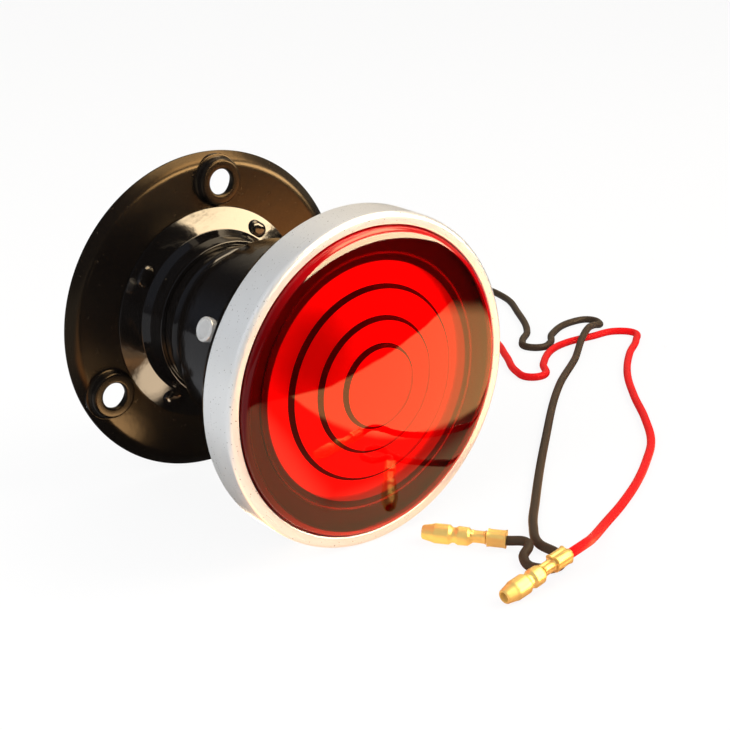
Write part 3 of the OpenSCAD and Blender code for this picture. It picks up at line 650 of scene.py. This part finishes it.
def rivet_mesh(wide, long, high, lead_in=0.25):
    """Long domed head on a short edge, longer across the radius than along it, standing at z = 0."""
    mesh = bmesh.new()
    around, up = 48, 10
    rings = []
    for j in range(up):
        shrink = 1 - (j / up) ** 2.4
        height = lead_in + (high - lead_in) * math.sin(j / up * math.pi / 2) ** 1.1
        ring = []
        for k in range(around):
            a = 2 * math.pi * (k + 0.5) / around
            x, y = wide / 2 * math.cos(a), wide / 2 * math.sin(a)
            y = y * shrink + math.copysign((long - wide) / 2 * (0.25 + 0.75 * shrink), math.sin(a))
            ring.append(mesh.verts.new((x * shrink * MM, y * MM, height * MM)))
        rings.append(ring)
    top = mesh.verts.new((0, 0, high * MM))
    foot = [mesh.verts.new((v.co.x, v.co.y, -0.4 * MM)) for v in rings[0]]
    skin(mesh, [foot, *rings, [top] * around])
    mesh.faces.new(foot[::-1])
    bmesh.ops.recalc_face_normals(mesh, faces=mesh.faces)
    return mesh


class LAMP_OT_foot_rivets(bpy.types.Operator):
    """Long domed rivets in the collar's foot, with their tails behind the flange"""
    bl_idname = "lamp.foot_rivets"
    bl_label = "Foot rivets"

    def execute(self, context):
        count, start, circle, foot_top = sizes().rivet_count, 57, 25.0, 3.2
        round_the_axis("foot_rivet_heads", rivet_mesh(4.2, 6.0, 1.25), "black_paint", count, start, circle,
                       foot_top, "foot_rivets")
        tail = rounded([
            (0, 0.3, 0), (2.3, 0.3, 0.3), (2.3, 1.05, 0.1), (1.45, 1.05, 0), (1.45, 3.0, 0), (0, 3.0, 0)])
        round_the_axis("foot_rivet_tails", revolve(tail, 48), "black_paint", count, start, circle, 0.0,
                       "foot_rivets")
        return {"FINISHED"}


# The bell
def bell_path():
    """The outside of the spun bell, from the tube over bead, shoulder and body to the pan."""
    tube = [(20.0, 3.4), (20.0, 12.9), (20.02, 13.5)]
    bead = arc((19.3, 15.3), 1.8, -66, 54, 12) + arc((23.2, 20.2), 2.6, 205, 160, 6)[1:-1]
    shoulder = [(21.6, 22.4), (22.6, 23.7)] + arc((23.9, 26.6), 1.5, -48, 0, 8)
    flare = arc((35.4, 43.0), 10, 180, 100, 24)
    (r, z), pan_round, pan_wall = flare[-1], 7.55, 5.7
    r, z = r - pan_round * math.cos(math.radians(80)), z + pan_round * math.sin(math.radians(80))
    pan = arc((r, z), pan_round, -80, 0, 18)[1:] + [(r + pan_round, z + pan_wall)]
    return tube + bead + shoulder + flare + pan


class LAMP_OT_bell(bpy.types.Operator):
    """Spun bell in one sheet, from its tube to the pan under the rim"""
    bl_idname = "lamp.bell"
    bl_label = "Bell"

    def execute(self, context):
        settle("bell_shell", revolve(wall(bell_path(), 1.0), 256), "black_paint", "bell", 40.0)
        return {"FINISHED"}


class LAMP_OT_side_rivets(bpy.types.Operator):
    """Flat dished rivets in the bell's sides"""
    bl_idname = "lamp.side_rivets"
    bl_label = "Side rivets"

    def execute(self, context):
        shell = revolve(rounded([
            (0, 22.0, 0), (1.5, 22.0, 0), (1.5, 25.2, 0), (3.0, 25.2, 0.1), (3.1, 26.9, 0.45),
            (2.45, 27.35, 0.15), (2.05, 26.98, 0.25), (0, 26.98, 0)], 6), 72)
        bmesh.ops.transform(shell, matrix=Matrix.Rotation(math.pi / 2, 4, "Y"), verts=shell.verts)
        round_the_axis("side_rivet_heads", shell, "bright_steel", 2, 159.5, 0.0, 36.8, "side_rivets")
        return {"FINISHED"}


# The rim and what it holds, in mm from the axis and from the flange's back
RIM_BACK, RIM_FRONT, RIM_INSIDE = 60.283, 70.383, 39.9525
LIP_WIDTH, LIP_BACK = 1.75, RIM_FRONT - 1.2
LENS_SEAT, LENS_TOP, LENS_CAP, LENS_EDGE = 66.38, 74.883, 36.4, 39.75
STEP_RADII, STEP_HEIGHT = (23.5, 16.4, 10.2), 1.87
GROOVE_INNER, GROOVE_OUTER = 30.7, 31.3
GASKET_BACK, GASKET_FRONT = 62.08, 66.36


class LAMP_OT_rim(bpy.types.Operator):
    """Satin rim with its rounded shoulder and a lip over the lens"""
    bl_idname = "lamp.rim"
    bl_label = "Rim"

    def execute(self, context):
        outside, lip = sizes().rim_radius / MM, RIM_INSIDE - LIP_WIDTH
        outline = rounded([
            (RIM_INSIDE, RIM_BACK, 0.15), (outside, RIM_BACK, 0.35), (outside, RIM_FRONT, 1.6),
            (lip, RIM_FRONT, 0.45), (lip, LIP_BACK, 0.1), (RIM_INSIDE, LIP_BACK, 0)], 8)
        settle("rim_band", revolve(outline, 320), "satin_aluminium", "rim", body="front")
        return {"FINISHED"}


def lens_outline():
    """The domed front, the shoulder under the lip, and a back with a groove and three steps."""
    drop = LENS_TOP - (RIM_FRONT + 1.2)
    dome = (LENS_CAP * LENS_CAP + drop * drop) / (2 * drop)
    face = arc((0, LENS_TOP - dome), dome, 90, 90 - math.degrees(math.asin(LENS_CAP / dome)), 24)
    shoulder = [(37.1, RIM_FRONT + 0.98), (37.55, RIM_FRONT + 0.62), (37.8, RIM_FRONT + 0.1),
                (37.9, RIM_FRONT - 0.4), (37.9, LIP_BACK), (LENS_EDGE, LIP_BACK)]
    deep = LENS_SEAT + 0.5
    back = [(LENS_EDGE, LENS_SEAT), (37.0, LENS_SEAT), (GROOVE_OUTER, LENS_SEAT), (31.05, deep), (30.95, deep),
            (GROOVE_INNER, LENS_SEAT), (29.0, LENS_SEAT)]
    high = LENS_SEAT
    for r in STEP_RADII:
        low, high = high, high + STEP_HEIGHT
        back += [(r + 0.22, low), (r + 0.1, low + 0.12), (r - 0.5, high - 0.12), (r - 0.62, high)]
    return face + shoulder + back + [(0, high)]


def lens_finish(reach, height, facing):
    """The finish of a face of the lens, from its place in mm and from how far it faces forwards."""
    # the edge and the groove take the bright red tone of painted light, the risers the dark tone of painted
    # shade
    if reach > LENS_CAP or (height < 67.0 and GROOVE_INNER < reach < GROOVE_OUTER):
        return "red_glass_edge"
    if facing < -0.9:
        return "red_glass_bright" if reach < 29.5 else "red_glass_back"
    return "red_glass_riser" if facing < 0.3 else "red_glass"


class LAMP_OT_lens(bpy.types.Operator):
    """Red pressed lens, domed in front and stepped behind"""
    bl_idname = "lamp.lens"
    bl_label = "Lens"

    def execute(self, context):
        kinds = ("red_glass", "red_glass_back", "red_glass_riser", "red_glass_edge", "red_glass_bright")
        mesh = revolve(lens_outline(), 256)
        for face in mesh.faces:
            middle = face.calc_center_median() / MM
            kind = lens_finish(math.hypot(middle.x, middle.y), middle.z, face.normal.z)
            face.material_index = kinds.index(kind)
        settle("lens_glass", mesh, kinds[0], "lens", 24.0, "front", more=kinds[1:])
        return {"FINISHED"}


class LAMP_OT_behind_lens(bpy.types.Operator):
    """Gasket and bright bowl behind the lens"""
    bl_idname = "lamp.behind_lens"
    bl_label = "Gasket and reflector"

    def execute(self, context):
        inside, outside = 28.95, 38.5
        ring = rounded([(inside, GASKET_BACK, 0.4), (outside, GASKET_BACK, 0.3), (outside, GASKET_FRONT, 0.3),
                        (inside, GASKET_FRONT, 0.5)], 5)
        settle("gasket_ring", revolve(ring, 192), "black_rubber", "lens_gasket", 40.0)
        bottom, depth, hole, mouth, sheet, count = 43.98, 17.5, 10.3, 28.5, 0.6, 28
        back = []
        for i in range(count + 1):
            r = hole + (mouth - hole) * i / count
            back.append((r, bottom + depth / mouth ** 2 * r * r))
        brim = rounded([(38.4, GASKET_BACK, 0.8), (38.4, 56.5, 0.1), (37.8, 56.5, 0.1),
                        (37.8, GASKET_BACK - sheet, 0.5)], 4)
        outline = [(r, z + sheet) for r, z in back] + brim + back[::-1]
        settle("bright_bowl", revolve(outline, 192), "polished_aluminium", "reflector", 40.0)
        return {"FINISHED"}


# The bulb and its socket
class LAMP_OT_bulb(bpy.types.Operator):
    """Bayonet bulb: cap, pins, contact, clear glass, stem and coiled filament"""
    bl_idname = "lamp.bulb"
    bl_label = "Bulb"

    def execute(self, context):
        cap = rounded([
            (0, 28.0, 0), (5.5, 28.0, 0.2), (6.9, 28.6, 0.4), (7.5, 29.6, 0.5), (7.5, 43.6, 0.3),
            (7.2, 44.5, 0.1), (6.8, 44.5, 0.1), (7.1, 43.6, 0.2), (7.1, 30.4, 0.3), (0, 30.4, 0)], 5)
        settle("bulb_cap_shell", revolve(cap, 96), "brass", "bulb_cap", body="bulb")
        middle, neck, outside, sheet, base = 55.0, 6.75, 9.5, 0.6, 39.5
        meet, inner = (math.degrees(math.asin((neck - t) / (outside - t))) for t in (0, sheet))
        glass = [(neck - sheet, base), (neck, base)] + arc((0, middle), outside, meet - 90, 90, 28)
        glass += arc((0, middle), outside - sheet, 90, inner - 90, 28)
        settle("bulb_globe", revolve(glass, 96), "clear_glass", "bulb_glass", 40.0, "bulb")
        stem = rounded([(0, base, 0), (6.1, base, 0.1), (6.1, 40.3, 0.3), (2.6, 42.7, 1.0), (2.0, 48.5, 0.5),
                        (0, 48.5, 0)])
        settle("bulb_foot", revolve(stem, 48), "clear_glass", "bulb_stem", 40.0, "bulb")
        smooth_copy("bulb_pins", "brass", "bulb")
        smooth_copy("bulb_contact", "solder", "bulb")
        along_x = lying() @ Matrix.Translation((-0.0026, 0, 0.0546)) @ Matrix.Rotation(math.pi / 2, 4, "Y")
        coil("bulb_filament_coil", 16.0, 0.00030, 0.0052, 0.00007, 256, along_x, "bulb", "bulb_filament")
        for name, side in (("left", -1), ("right", 1)):
            wire = [(side * 1.0, 0, 47.5), (side * 1.1, 0, 50), (side * 2.2, 0, 53), (side * 2.6, 0.15, 54.6)]
            strand(f"filament_wire_{name}", wire, 0.22, "spring_steel", "bulb", "bulb_filament")
        return {"FINISHED"}


class LAMP_OT_socket(bpy.types.Operator):
    """Strap, socket tube, spring, contact, earth terminal, grommet and the leads inside the bell"""
    bl_idname = "lamp.socket"
    bl_label = "Socket"

    def execute(self, context):
        for node, slot in (("socket_strap", "zinc_steel"), ("socket_shell", "brass"),
                           ("earth_terminal", "brass"), ("earth_screw", "zinc_steel"),
                           ("grommet", "black_rubber")):
            smooth_copy(node, slot)
        smooth_copy("contact_disc", "phenolic", "plunger")
        smooth_copy("contact_button", "brass", "plunger")
        spring_start = lying() @ Matrix.Translation((0, 0, 0.01625))
        length, travel = 0.0082, 0.0015
        spring = coil("contact_spring_coil", sizes().spring_turns, 0.0056, length, 0.0004, 40, spring_start,
                      "lamp", "contact_spring")
        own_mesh(spring)
        radius = leads().diameter / MM / 2
        strand("red_inside_lead", [
            (1.7, 0, 0), (1.7, 0, 4), (2.6, 1.5, 6), (2.4, 2, 9), (0.8, 0.8, 12), (0, 0, 14.5), (0, 0, 17.8)],
            radius, "red_sleeve", "lamp", "red_inner_lead")
        strand("black_inside_lead", [
            (-1.7, 0, 0), (-1.7, 0, 4), (-4, -2, 8), (-9, -6, 13), (-14.5, -10, 19), (-19, -8.5, 23.8),
            (-19.97, -4.87, 25.75), (-18.92, -2.06, 25.75)], radius, "black_sleeve", "lamp", "black_inner_lead")
        return {"FINISHED"}


# Leads and their bullets, in mm; a point without a height lies on the floor
RED_END, RED_HEADING = (22.5, -76.5, 6.2), (-20.3, -0.5, -4.1)
BLACK_END, BLACK_HEADING = (23, -56, 2.5), (-12.5, 16.5, 0)
RED_POINTS = (
    (3, 52, 39), (6, 60, 29), (9, 66, 18), (16, 74, 7), (28, 83), (55, 94), (90, 101),
    (120, 97), (135, 83), (133, 66), (124, 50), (116, 37), (115, 31),
    (120, 29), (128, 37), (141, 46), (151, 48.5), (162, 48), (173, 47),
    (176.5, 42), (171, 36), (158.5, 27.5), (142.5, 14), (128, -2), (116, -17),
    (103, -31), (91, -40), (77, -49), (63, -56.5), (50, -62.8, 1.6), (38.2, -69.8, 3.8))
BLACK_POINTS = (
    (-3, 52, 40), (-5, 60, 31), (-4, 66, 20), (1, 73, 9), (12, 82, 2), (30, 92), (60, 108),
    (95, 125), (130, 134), (158, 131), (173, 118), (172, 102), (162, 84),
    (148, 65), (140, 59), (136.5, 54), (140, 50), (145.5, 51.5), (153, 58),
    (169, 64), (176, 62), (175, 56.5), (168, 53, 2.8), (161, 49, 4), (153, 44, 3.2),
    (140, 34.5), (117, 19), (80, -12), (47, -41.5), (36, -52), (30, -60),
    (29, -68), (24, -72), (19.5, -68.5), (21, -64, 1.5))


def curve_piece(name, points, radius, slot, body, node, lowest=None):
    """A round tube along one smooth open spline through points in metres, never below lowest."""
    data = bpy.data.curves.new(name, "CURVE")
    data.dimensions = "3D"
    data.resolution_u = data.render_resolution_u = 14
    data.bevel_depth, data.bevel_resolution, data.use_fill_caps = radius, 6, True
    spline = data.splines.new("BEZIER")
    spline.bezier_points.add(len(points) - 1)
    for i, (knot, point) in enumerate(zip(spline.bezier_points, points)):
        before, after = points[max(i - 1, 0)], points[min(i + 1, len(points) - 1)]
        line = ((point - before).normalized() + (after - point).normalized()).normalized()
        knot.handle_left_type = knot.handle_right_type = "FREE"
        knot.co = point
        knot.handle_left = point - line * (before - point).length * HANDLE
        knot.handle_right = point + line * (after - point).length * HANDLE
        if lowest is not None:
            knot.handle_left.z = max(knot.handle_left.z, lowest)
            knot.handle_right.z = max(knot.handle_right.z, lowest)
    data.materials.append(finish_for(slot))
    piece = linked(name, data)
    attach(piece, body)
    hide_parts(node)
    return piece


def strand(name, points, radius, slot, body, node):
    """A wire inside the lamp, along points in mm on the lamp's own axis."""
    place = lying()
    return curve_piece(name, [place @ (Vector(p) * MM) for p in points], radius * MM, slot, body, node)


def route(exit_x, points, end, heading):
    """A lead's points in metres, straight where it leaves the lamp and where it meets its bullet."""
    s = sizes()
    start = Vector((exit_x * MM, s.axis_y, s.axis_z))
    out = Vector((0, math.cos(s.tilt), math.sin(s.tilt)))
    last = Vector(end) * MM
    floor = leads().diameter / MM / 2
    return [start, start + 0.006 * out, *(Vector((*p, floor)[:3]) * MM for p in points),
            last - 0.005 * Vector(heading).normalized(), last]


def crimp_outline(radius, count=56):
    """Radius of a B-shaped crimp round its lead: a round bottom and two curled ears on top."""
    points = []
    for k in range(count):
        a = 2 * math.pi * k / count
        u = Vector((math.cos(a), math.sin(a)))
        reach = radius
        for side in (-1, 1):
            ear = Vector((side * radius * 0.5, radius * 0.55))
            across = ear.dot(u)
            inside = (0.6 * radius) ** 2 - ear.length_squared + across * across
            if inside > 0 and across > 0:
                reach = max(reach, across + math.sqrt(inside))
        points.append(u * reach)
    return points


def crimp_mesh(mesh, radius, bore, stations):
    """A crimped barrel with a hole for its lead; stations are (z, scale) along it."""
    outline = crimp_outline(radius)
    rings = [[mesh.verts.new((p.x * scale * MM, p.y * scale * MM, z * MM)) for p in outline]
             for z, scale in stations]
    rings += [ring_of(mesh, bore, z, len(outline)) for z in (stations[-1][0], stations[0][0])]
    skin(mesh, rings + rings[:1])


def bullet_mesh():
    """Brass bullet: crimps over sleeve and strands, a swell, a waist and a barrel with an open tip."""
    length, barrel = leads().bullet_length / MM, leads().bullet_radius / MM
    mesh = revolve(rounded([
        (0, 8.2, 0), (1.45, 8.2, 0.2), (2.25, 9.3, 0.5), (2.32, 11.7, 0.4), (barrel - 0.55, 12.55, 0.3),
        (barrel - 0.55, 13.2, 0.3), (barrel, 13.95, 0.4), (barrel, length - 3.2, 0.4),
        (barrel - 0.25, length - 2.4, 0.5), (1.75, length - 0.25, 0.25), (1.5, length, 0.12),
        (1.22, length, 0.12), (1.18, length - 5, 0.2), (0, length - 5, 0)], 5), 64)
    crimp_mesh(mesh, 1.9, 1.16, ((0, 1.06), (0.35, 1.01), (0.8, 0.98), (3.9, 0.98), (4.3, 1.01), (4.6, 1.04)))
    crimp_mesh(mesh, 1.35, 0.75, ((5.0, 1.12), (5.35, 1.0), (6.2, 0.97), (7.6, 0.97), (8.1, 1.0), (8.45, 1.1)))
    neck = data_of("neck", revolve([(0, 4.0), (1.15, 4.0), (1.15, 8.8), (0, 8.8)], 40))
    mesh.from_mesh(neck)
    bpy.data.meshes.remove(neck)
    bmesh.ops.recalc_face_normals(mesh, faces=mesh.faces)
    return mesh


def pointed(end, heading):
    """Turns a bullet's axis from +Z to its heading."""
    d = Vector(heading).normalized()
    return (Matrix.Translation(Vector(end) * MM) @ Matrix.Rotation(math.atan2(d.y, d.x), 4, "Z")
            @ Matrix.Rotation(math.pi / 2 - math.asin(d.z), 4, "Y") @ Matrix.Rotation(math.pi / 2, 4, "Z"))


class LAMP_OT_leads(bpy.types.Operator):
    """The red and the black lead on the floor, each with its brass bullet"""
    bl_idname = "lamp.leads"
    bl_label = "Leads and bullets"

    def execute(self, context):
        radius = leads().diameter / 2
        for colour, exit_x, points, end, heading, length in (
                ("red", 1.7, RED_POINTS, RED_END, RED_HEADING, 0.520),
                ("black", -1.7, BLACK_POINTS, BLACK_END, BLACK_HEADING, 0.606)):
            bullet = settle(f"{colour}_bullet_plug", bullet_mesh(), "brass", f"{colour}_bullet",
                            matrix=pointed(end, heading))
            line = route(exit_x, points, end, heading)
            lead = curve_piece(f"{colour}_lead_line", line, radius, f"{colour}_sleeve", "lamp",
                               f"{colour}_lead", radius)
        return {"FINISHED"}


# Studio
def staged(name, mesh, material):
    """The floor or a backdrop."""
    data = data_of(name, mesh)
    data.materials.append(material)
    piece = linked(name, data)
    return piece


def stage_plane(name, height, material):
    mesh = bmesh.new()
    mesh.faces.new([mesh.verts.new((x, y, height)) for x, y in ((-6, -6), (6, -6), (6, 6), (-6, 6))])
    return staged(name, mesh, material)


def gloss_only(piece):
    piece.visible_camera = piece.visible_diffuse = piece.visible_transmission = False
    piece.visible_shadow = piece.visible_volume_scatter = False


def white_floor():
    """The floor, which the camera sees mostly as even white and which keeps some of its shade."""
    f = new_finish("floor_white")
    grain = f.noise(f.place(), 900.0)
    lit = f.add("ShaderNodeBsdfPrincipled", None, {
        "Base Color": f.colour_mix(grain, shade(studio().floor, 0.98), studio().floor), "Roughness": 0.9,
        "Specular IOR Level": 0.2})
    even = f.add("ShaderNodeEmission", None, {"Color": WHITE, "Strength": 1.0})
    mixed = f.add("ShaderNodeMixShader", None, {0: f.in_view() * 0.88, 1: lit, 2: even})
    stage_plane("floor", 0.0, f.done(mixed)).visible_glossy = False


def painted_light_floor():
    """What gloss and metal see of the floor, with painted light: a warm, bright painted pool in front of the
    lens, painted shade that keeps it dim under the lamp, and a painted highlight spot.
    """
    f = new_finish("painted_light_floor")
    x, y = f.split(f.place())[:2]
    # painted pool of light, cut off by painted shade under the lamp
    far_edge = (x - 0.045).most(0.0) * 0.30 + y + 0.148
    lit = far_edge.between(-0.003, 0.002) * (1.0 - y.between(-0.040, -0.005)) * (1.0 - x.between(0.20, 0.26))
    right = ((x - 0.010) * (y * -1.0 - 0.050)).between(0.0006, 0.0009)
    outer = (1.0 - x.between(-0.009, 0.003)).most(y.between(-0.058, -0.046))
    dim = f.colour_mix(outer, (0.50, 0.12, 0.07), (1.5, 0.90, 0.46))
    tone = f.colour_mix(lit, (0.020, 0.016, 0.013), f.colour_mix(right, dim, (4.2, 2.0, 0.75)))
    # painted highlight: a small bright spot whose reflection lights the flange and the foot
    painted_highlight_spot = ((x + 0.0125) * (x + 0.0125) + (y + 0.007) * (y + 0.007) * 0.2).root()
    tone = f.colour_mix(1.0 - painted_highlight_spot.between(0.006, 0.010), tone, (10.5, 7.9, 5.2))
    pale = y.between(0.03, 0.07).most(1.0 - x.between(-0.09, -0.045))
    gloss_only(stage_plane("painted_light_floor", -0.0002, f.glow(f.colour_mix(pale, tone, (0.34, 0.35, 0.37)))))


def mirrored_room():
    """What gloss and metal see round the lamp: a dark room with a warm window wall on the right."""
    f = new_finish("mirrored_room")
    x, y, z = f.split(f.add("ShaderNodeVectorMath", {"operation": "NORMALIZE"}, {0: f.place()}))
    heading = x.maths("ARCTAN2", y)
    soft = heading.between(-0.2, 0.5) * (1.0 - heading.between(2.60, 2.75)) * z.between(0.05, 0.10)
    cool = (1.0 - heading.between(-0.7, -0.3)) * heading.between(-2.6, -2.2) * z.between(-0.1, 0.3)
    ceiling = heading.between(1.1, 1.5) * z.between(0.68, 0.76) * (1.0 - z.between(0.90, 0.95))
    upper = (heading.between(2.05, 2.2) * (1.0 - heading.between(2.75, 2.9))
             * z.between(0.38, 0.46) * (1.0 - z.between(0.64, 0.72)))
    window = (heading.between(2.00, 2.15) * (1.0 - heading.between(2.79, 2.81))
              * z.between(0.020, 0.035) * (1.0 - z.between(0.20, 0.26)))
    tone = (0.030, 0.030, 0.034)
    for area, colour in ((soft, (0.55, 0.46, 0.34)), (cool, (0.11, 0.13, 0.17)), (ceiling, (8.0, 6.5, 4.5)),
                         (upper, (12.0, 8.6, 4.8)), (window, (22.0, 16.8, 10.4))):
        tone = f.colour_mix(area, tone, colour)
    mesh = bmesh.new()
    bmesh.ops.create_icosphere(mesh, subdivisions=5, radius=4.0)
    gloss_only(staged("mirrored_room", mesh, f.glow(tone)))


def area_lamp(name, place, target, size, power, colour):
    data = bpy.data.lights.new(name, "AREA")
    data.shape, data.size, data.energy, data.color = "DISK", size, power, colour
    lamp = linked(name, data)
    lamp.location = place
    lamp.rotation_euler = (Vector(target) - Vector(place)).to_track_quat("-Z", "Y").to_euler()
    lamp.visible_glossy = lamp.visible_camera = False


class LAMP_OT_stage(bpy.types.Operator):
    """Camera, pale floor, soft lamps and what the gloss and the metal mirror"""
    bl_idname = "lamp.stage"
    bl_label = "Studio"

    def execute(self, context):
        scene, look = context.scene, studio()
        data = bpy.data.cameras.new("camera")
        data.lens, data.sensor_width, data.clip_start, data.clip_end = look.focal, 36.0, 0.01, 50.0
        scene.camera = linked("camera", data)
        turn = Matrix.Rotation(-look.azimuth, 4, "Z") @ Matrix.Rotation(math.pi / 2 - look.elevation, 4, "X")
        scene.camera.matrix_world = Matrix.Translation(look.place) @ turn @ Matrix.Rotation(look.roll, 4, "Z")
        white_floor()
        painted_light_floor()
        mirrored_room()
        scene.world = bpy.data.worlds.new("studio")
        scene.world.use_nodes = True
        w = Finish(scene.world.node_tree)
        w.add("ShaderNodeOutputWorld", None, {"Surface": w.add("ShaderNodeBackground", None, {
            "Color": WHITE, "Strength": w.in_view() * 0.40 + 0.60})})
        area_lamp("soft_key", (0.55, -0.45, 0.75), (0, 0, 0.03), 0.7, 5.5, (1.0, 0.90, 0.78))
        area_lamp("soft_fill", (-0.8, -0.3, 0.5), (0, 0, 0.03), 0.8, 8.0, (0.92, 0.96, 1.0))
        scene.view_settings.view_transform = "Standard"
        return {"FINISHED"}


class LAMP_PT_panel(bpy.types.Panel):
    bl_label = "Tail Light"
    bl_idname = "LAMP_PT_panel"
    bl_space_type = "VIEW_3D"
    bl_region_type = "UI"
    bl_category = "Tail Light"

    def draw(self, context):
        for group in (sizes(), leads(), looks(), studio()):
            box = self.layout.box()
            for name in group.bl_rna.properties.keys():
                if name not in ("rna_type", "name"):
                    box.prop(group, name)
        for operator in STEPS:
            self.layout.operator(operator.bl_idname)


GROUPS = (("lamp_sizes", LampSizes), ("lead_sizes", LeadSizes), ("lamp_looks", LampLooks),
          ("studio_looks", StudioLooks))
STEPS = (LAMP_OT_stage, LAMP_OT_leads, LAMP_OT_flange, LAMP_OT_collar, LAMP_OT_foot_rivets, LAMP_OT_bell,
         LAMP_OT_side_rivets, LAMP_OT_rim, LAMP_OT_lens, LAMP_OT_behind_lens, LAMP_OT_bulb, LAMP_OT_socket)


def register():
    for name, group in GROUPS:
        bpy.utils.register_class(group)
        setattr(bpy.types.Scene, name, bpy.props.PointerProperty(type=group))
    for kind in (*STEPS, LAMP_PT_panel):
        bpy.utils.register_class(kind)


def unregister():
    for kind in reversed((*STEPS, LAMP_PT_panel)):
        bpy.utils.unregister_class(kind)
    for name, group in reversed(GROUPS):
        delattr(bpy.types.Scene, name)
        bpy.utils.unregister_class(group)


def main():
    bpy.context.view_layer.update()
    register()
    for step in STEPS:
        group, name = step.bl_idname.split(".")
        getattr(getattr(bpy.ops, group), name)()


if __name__ == "__main__":
    main()
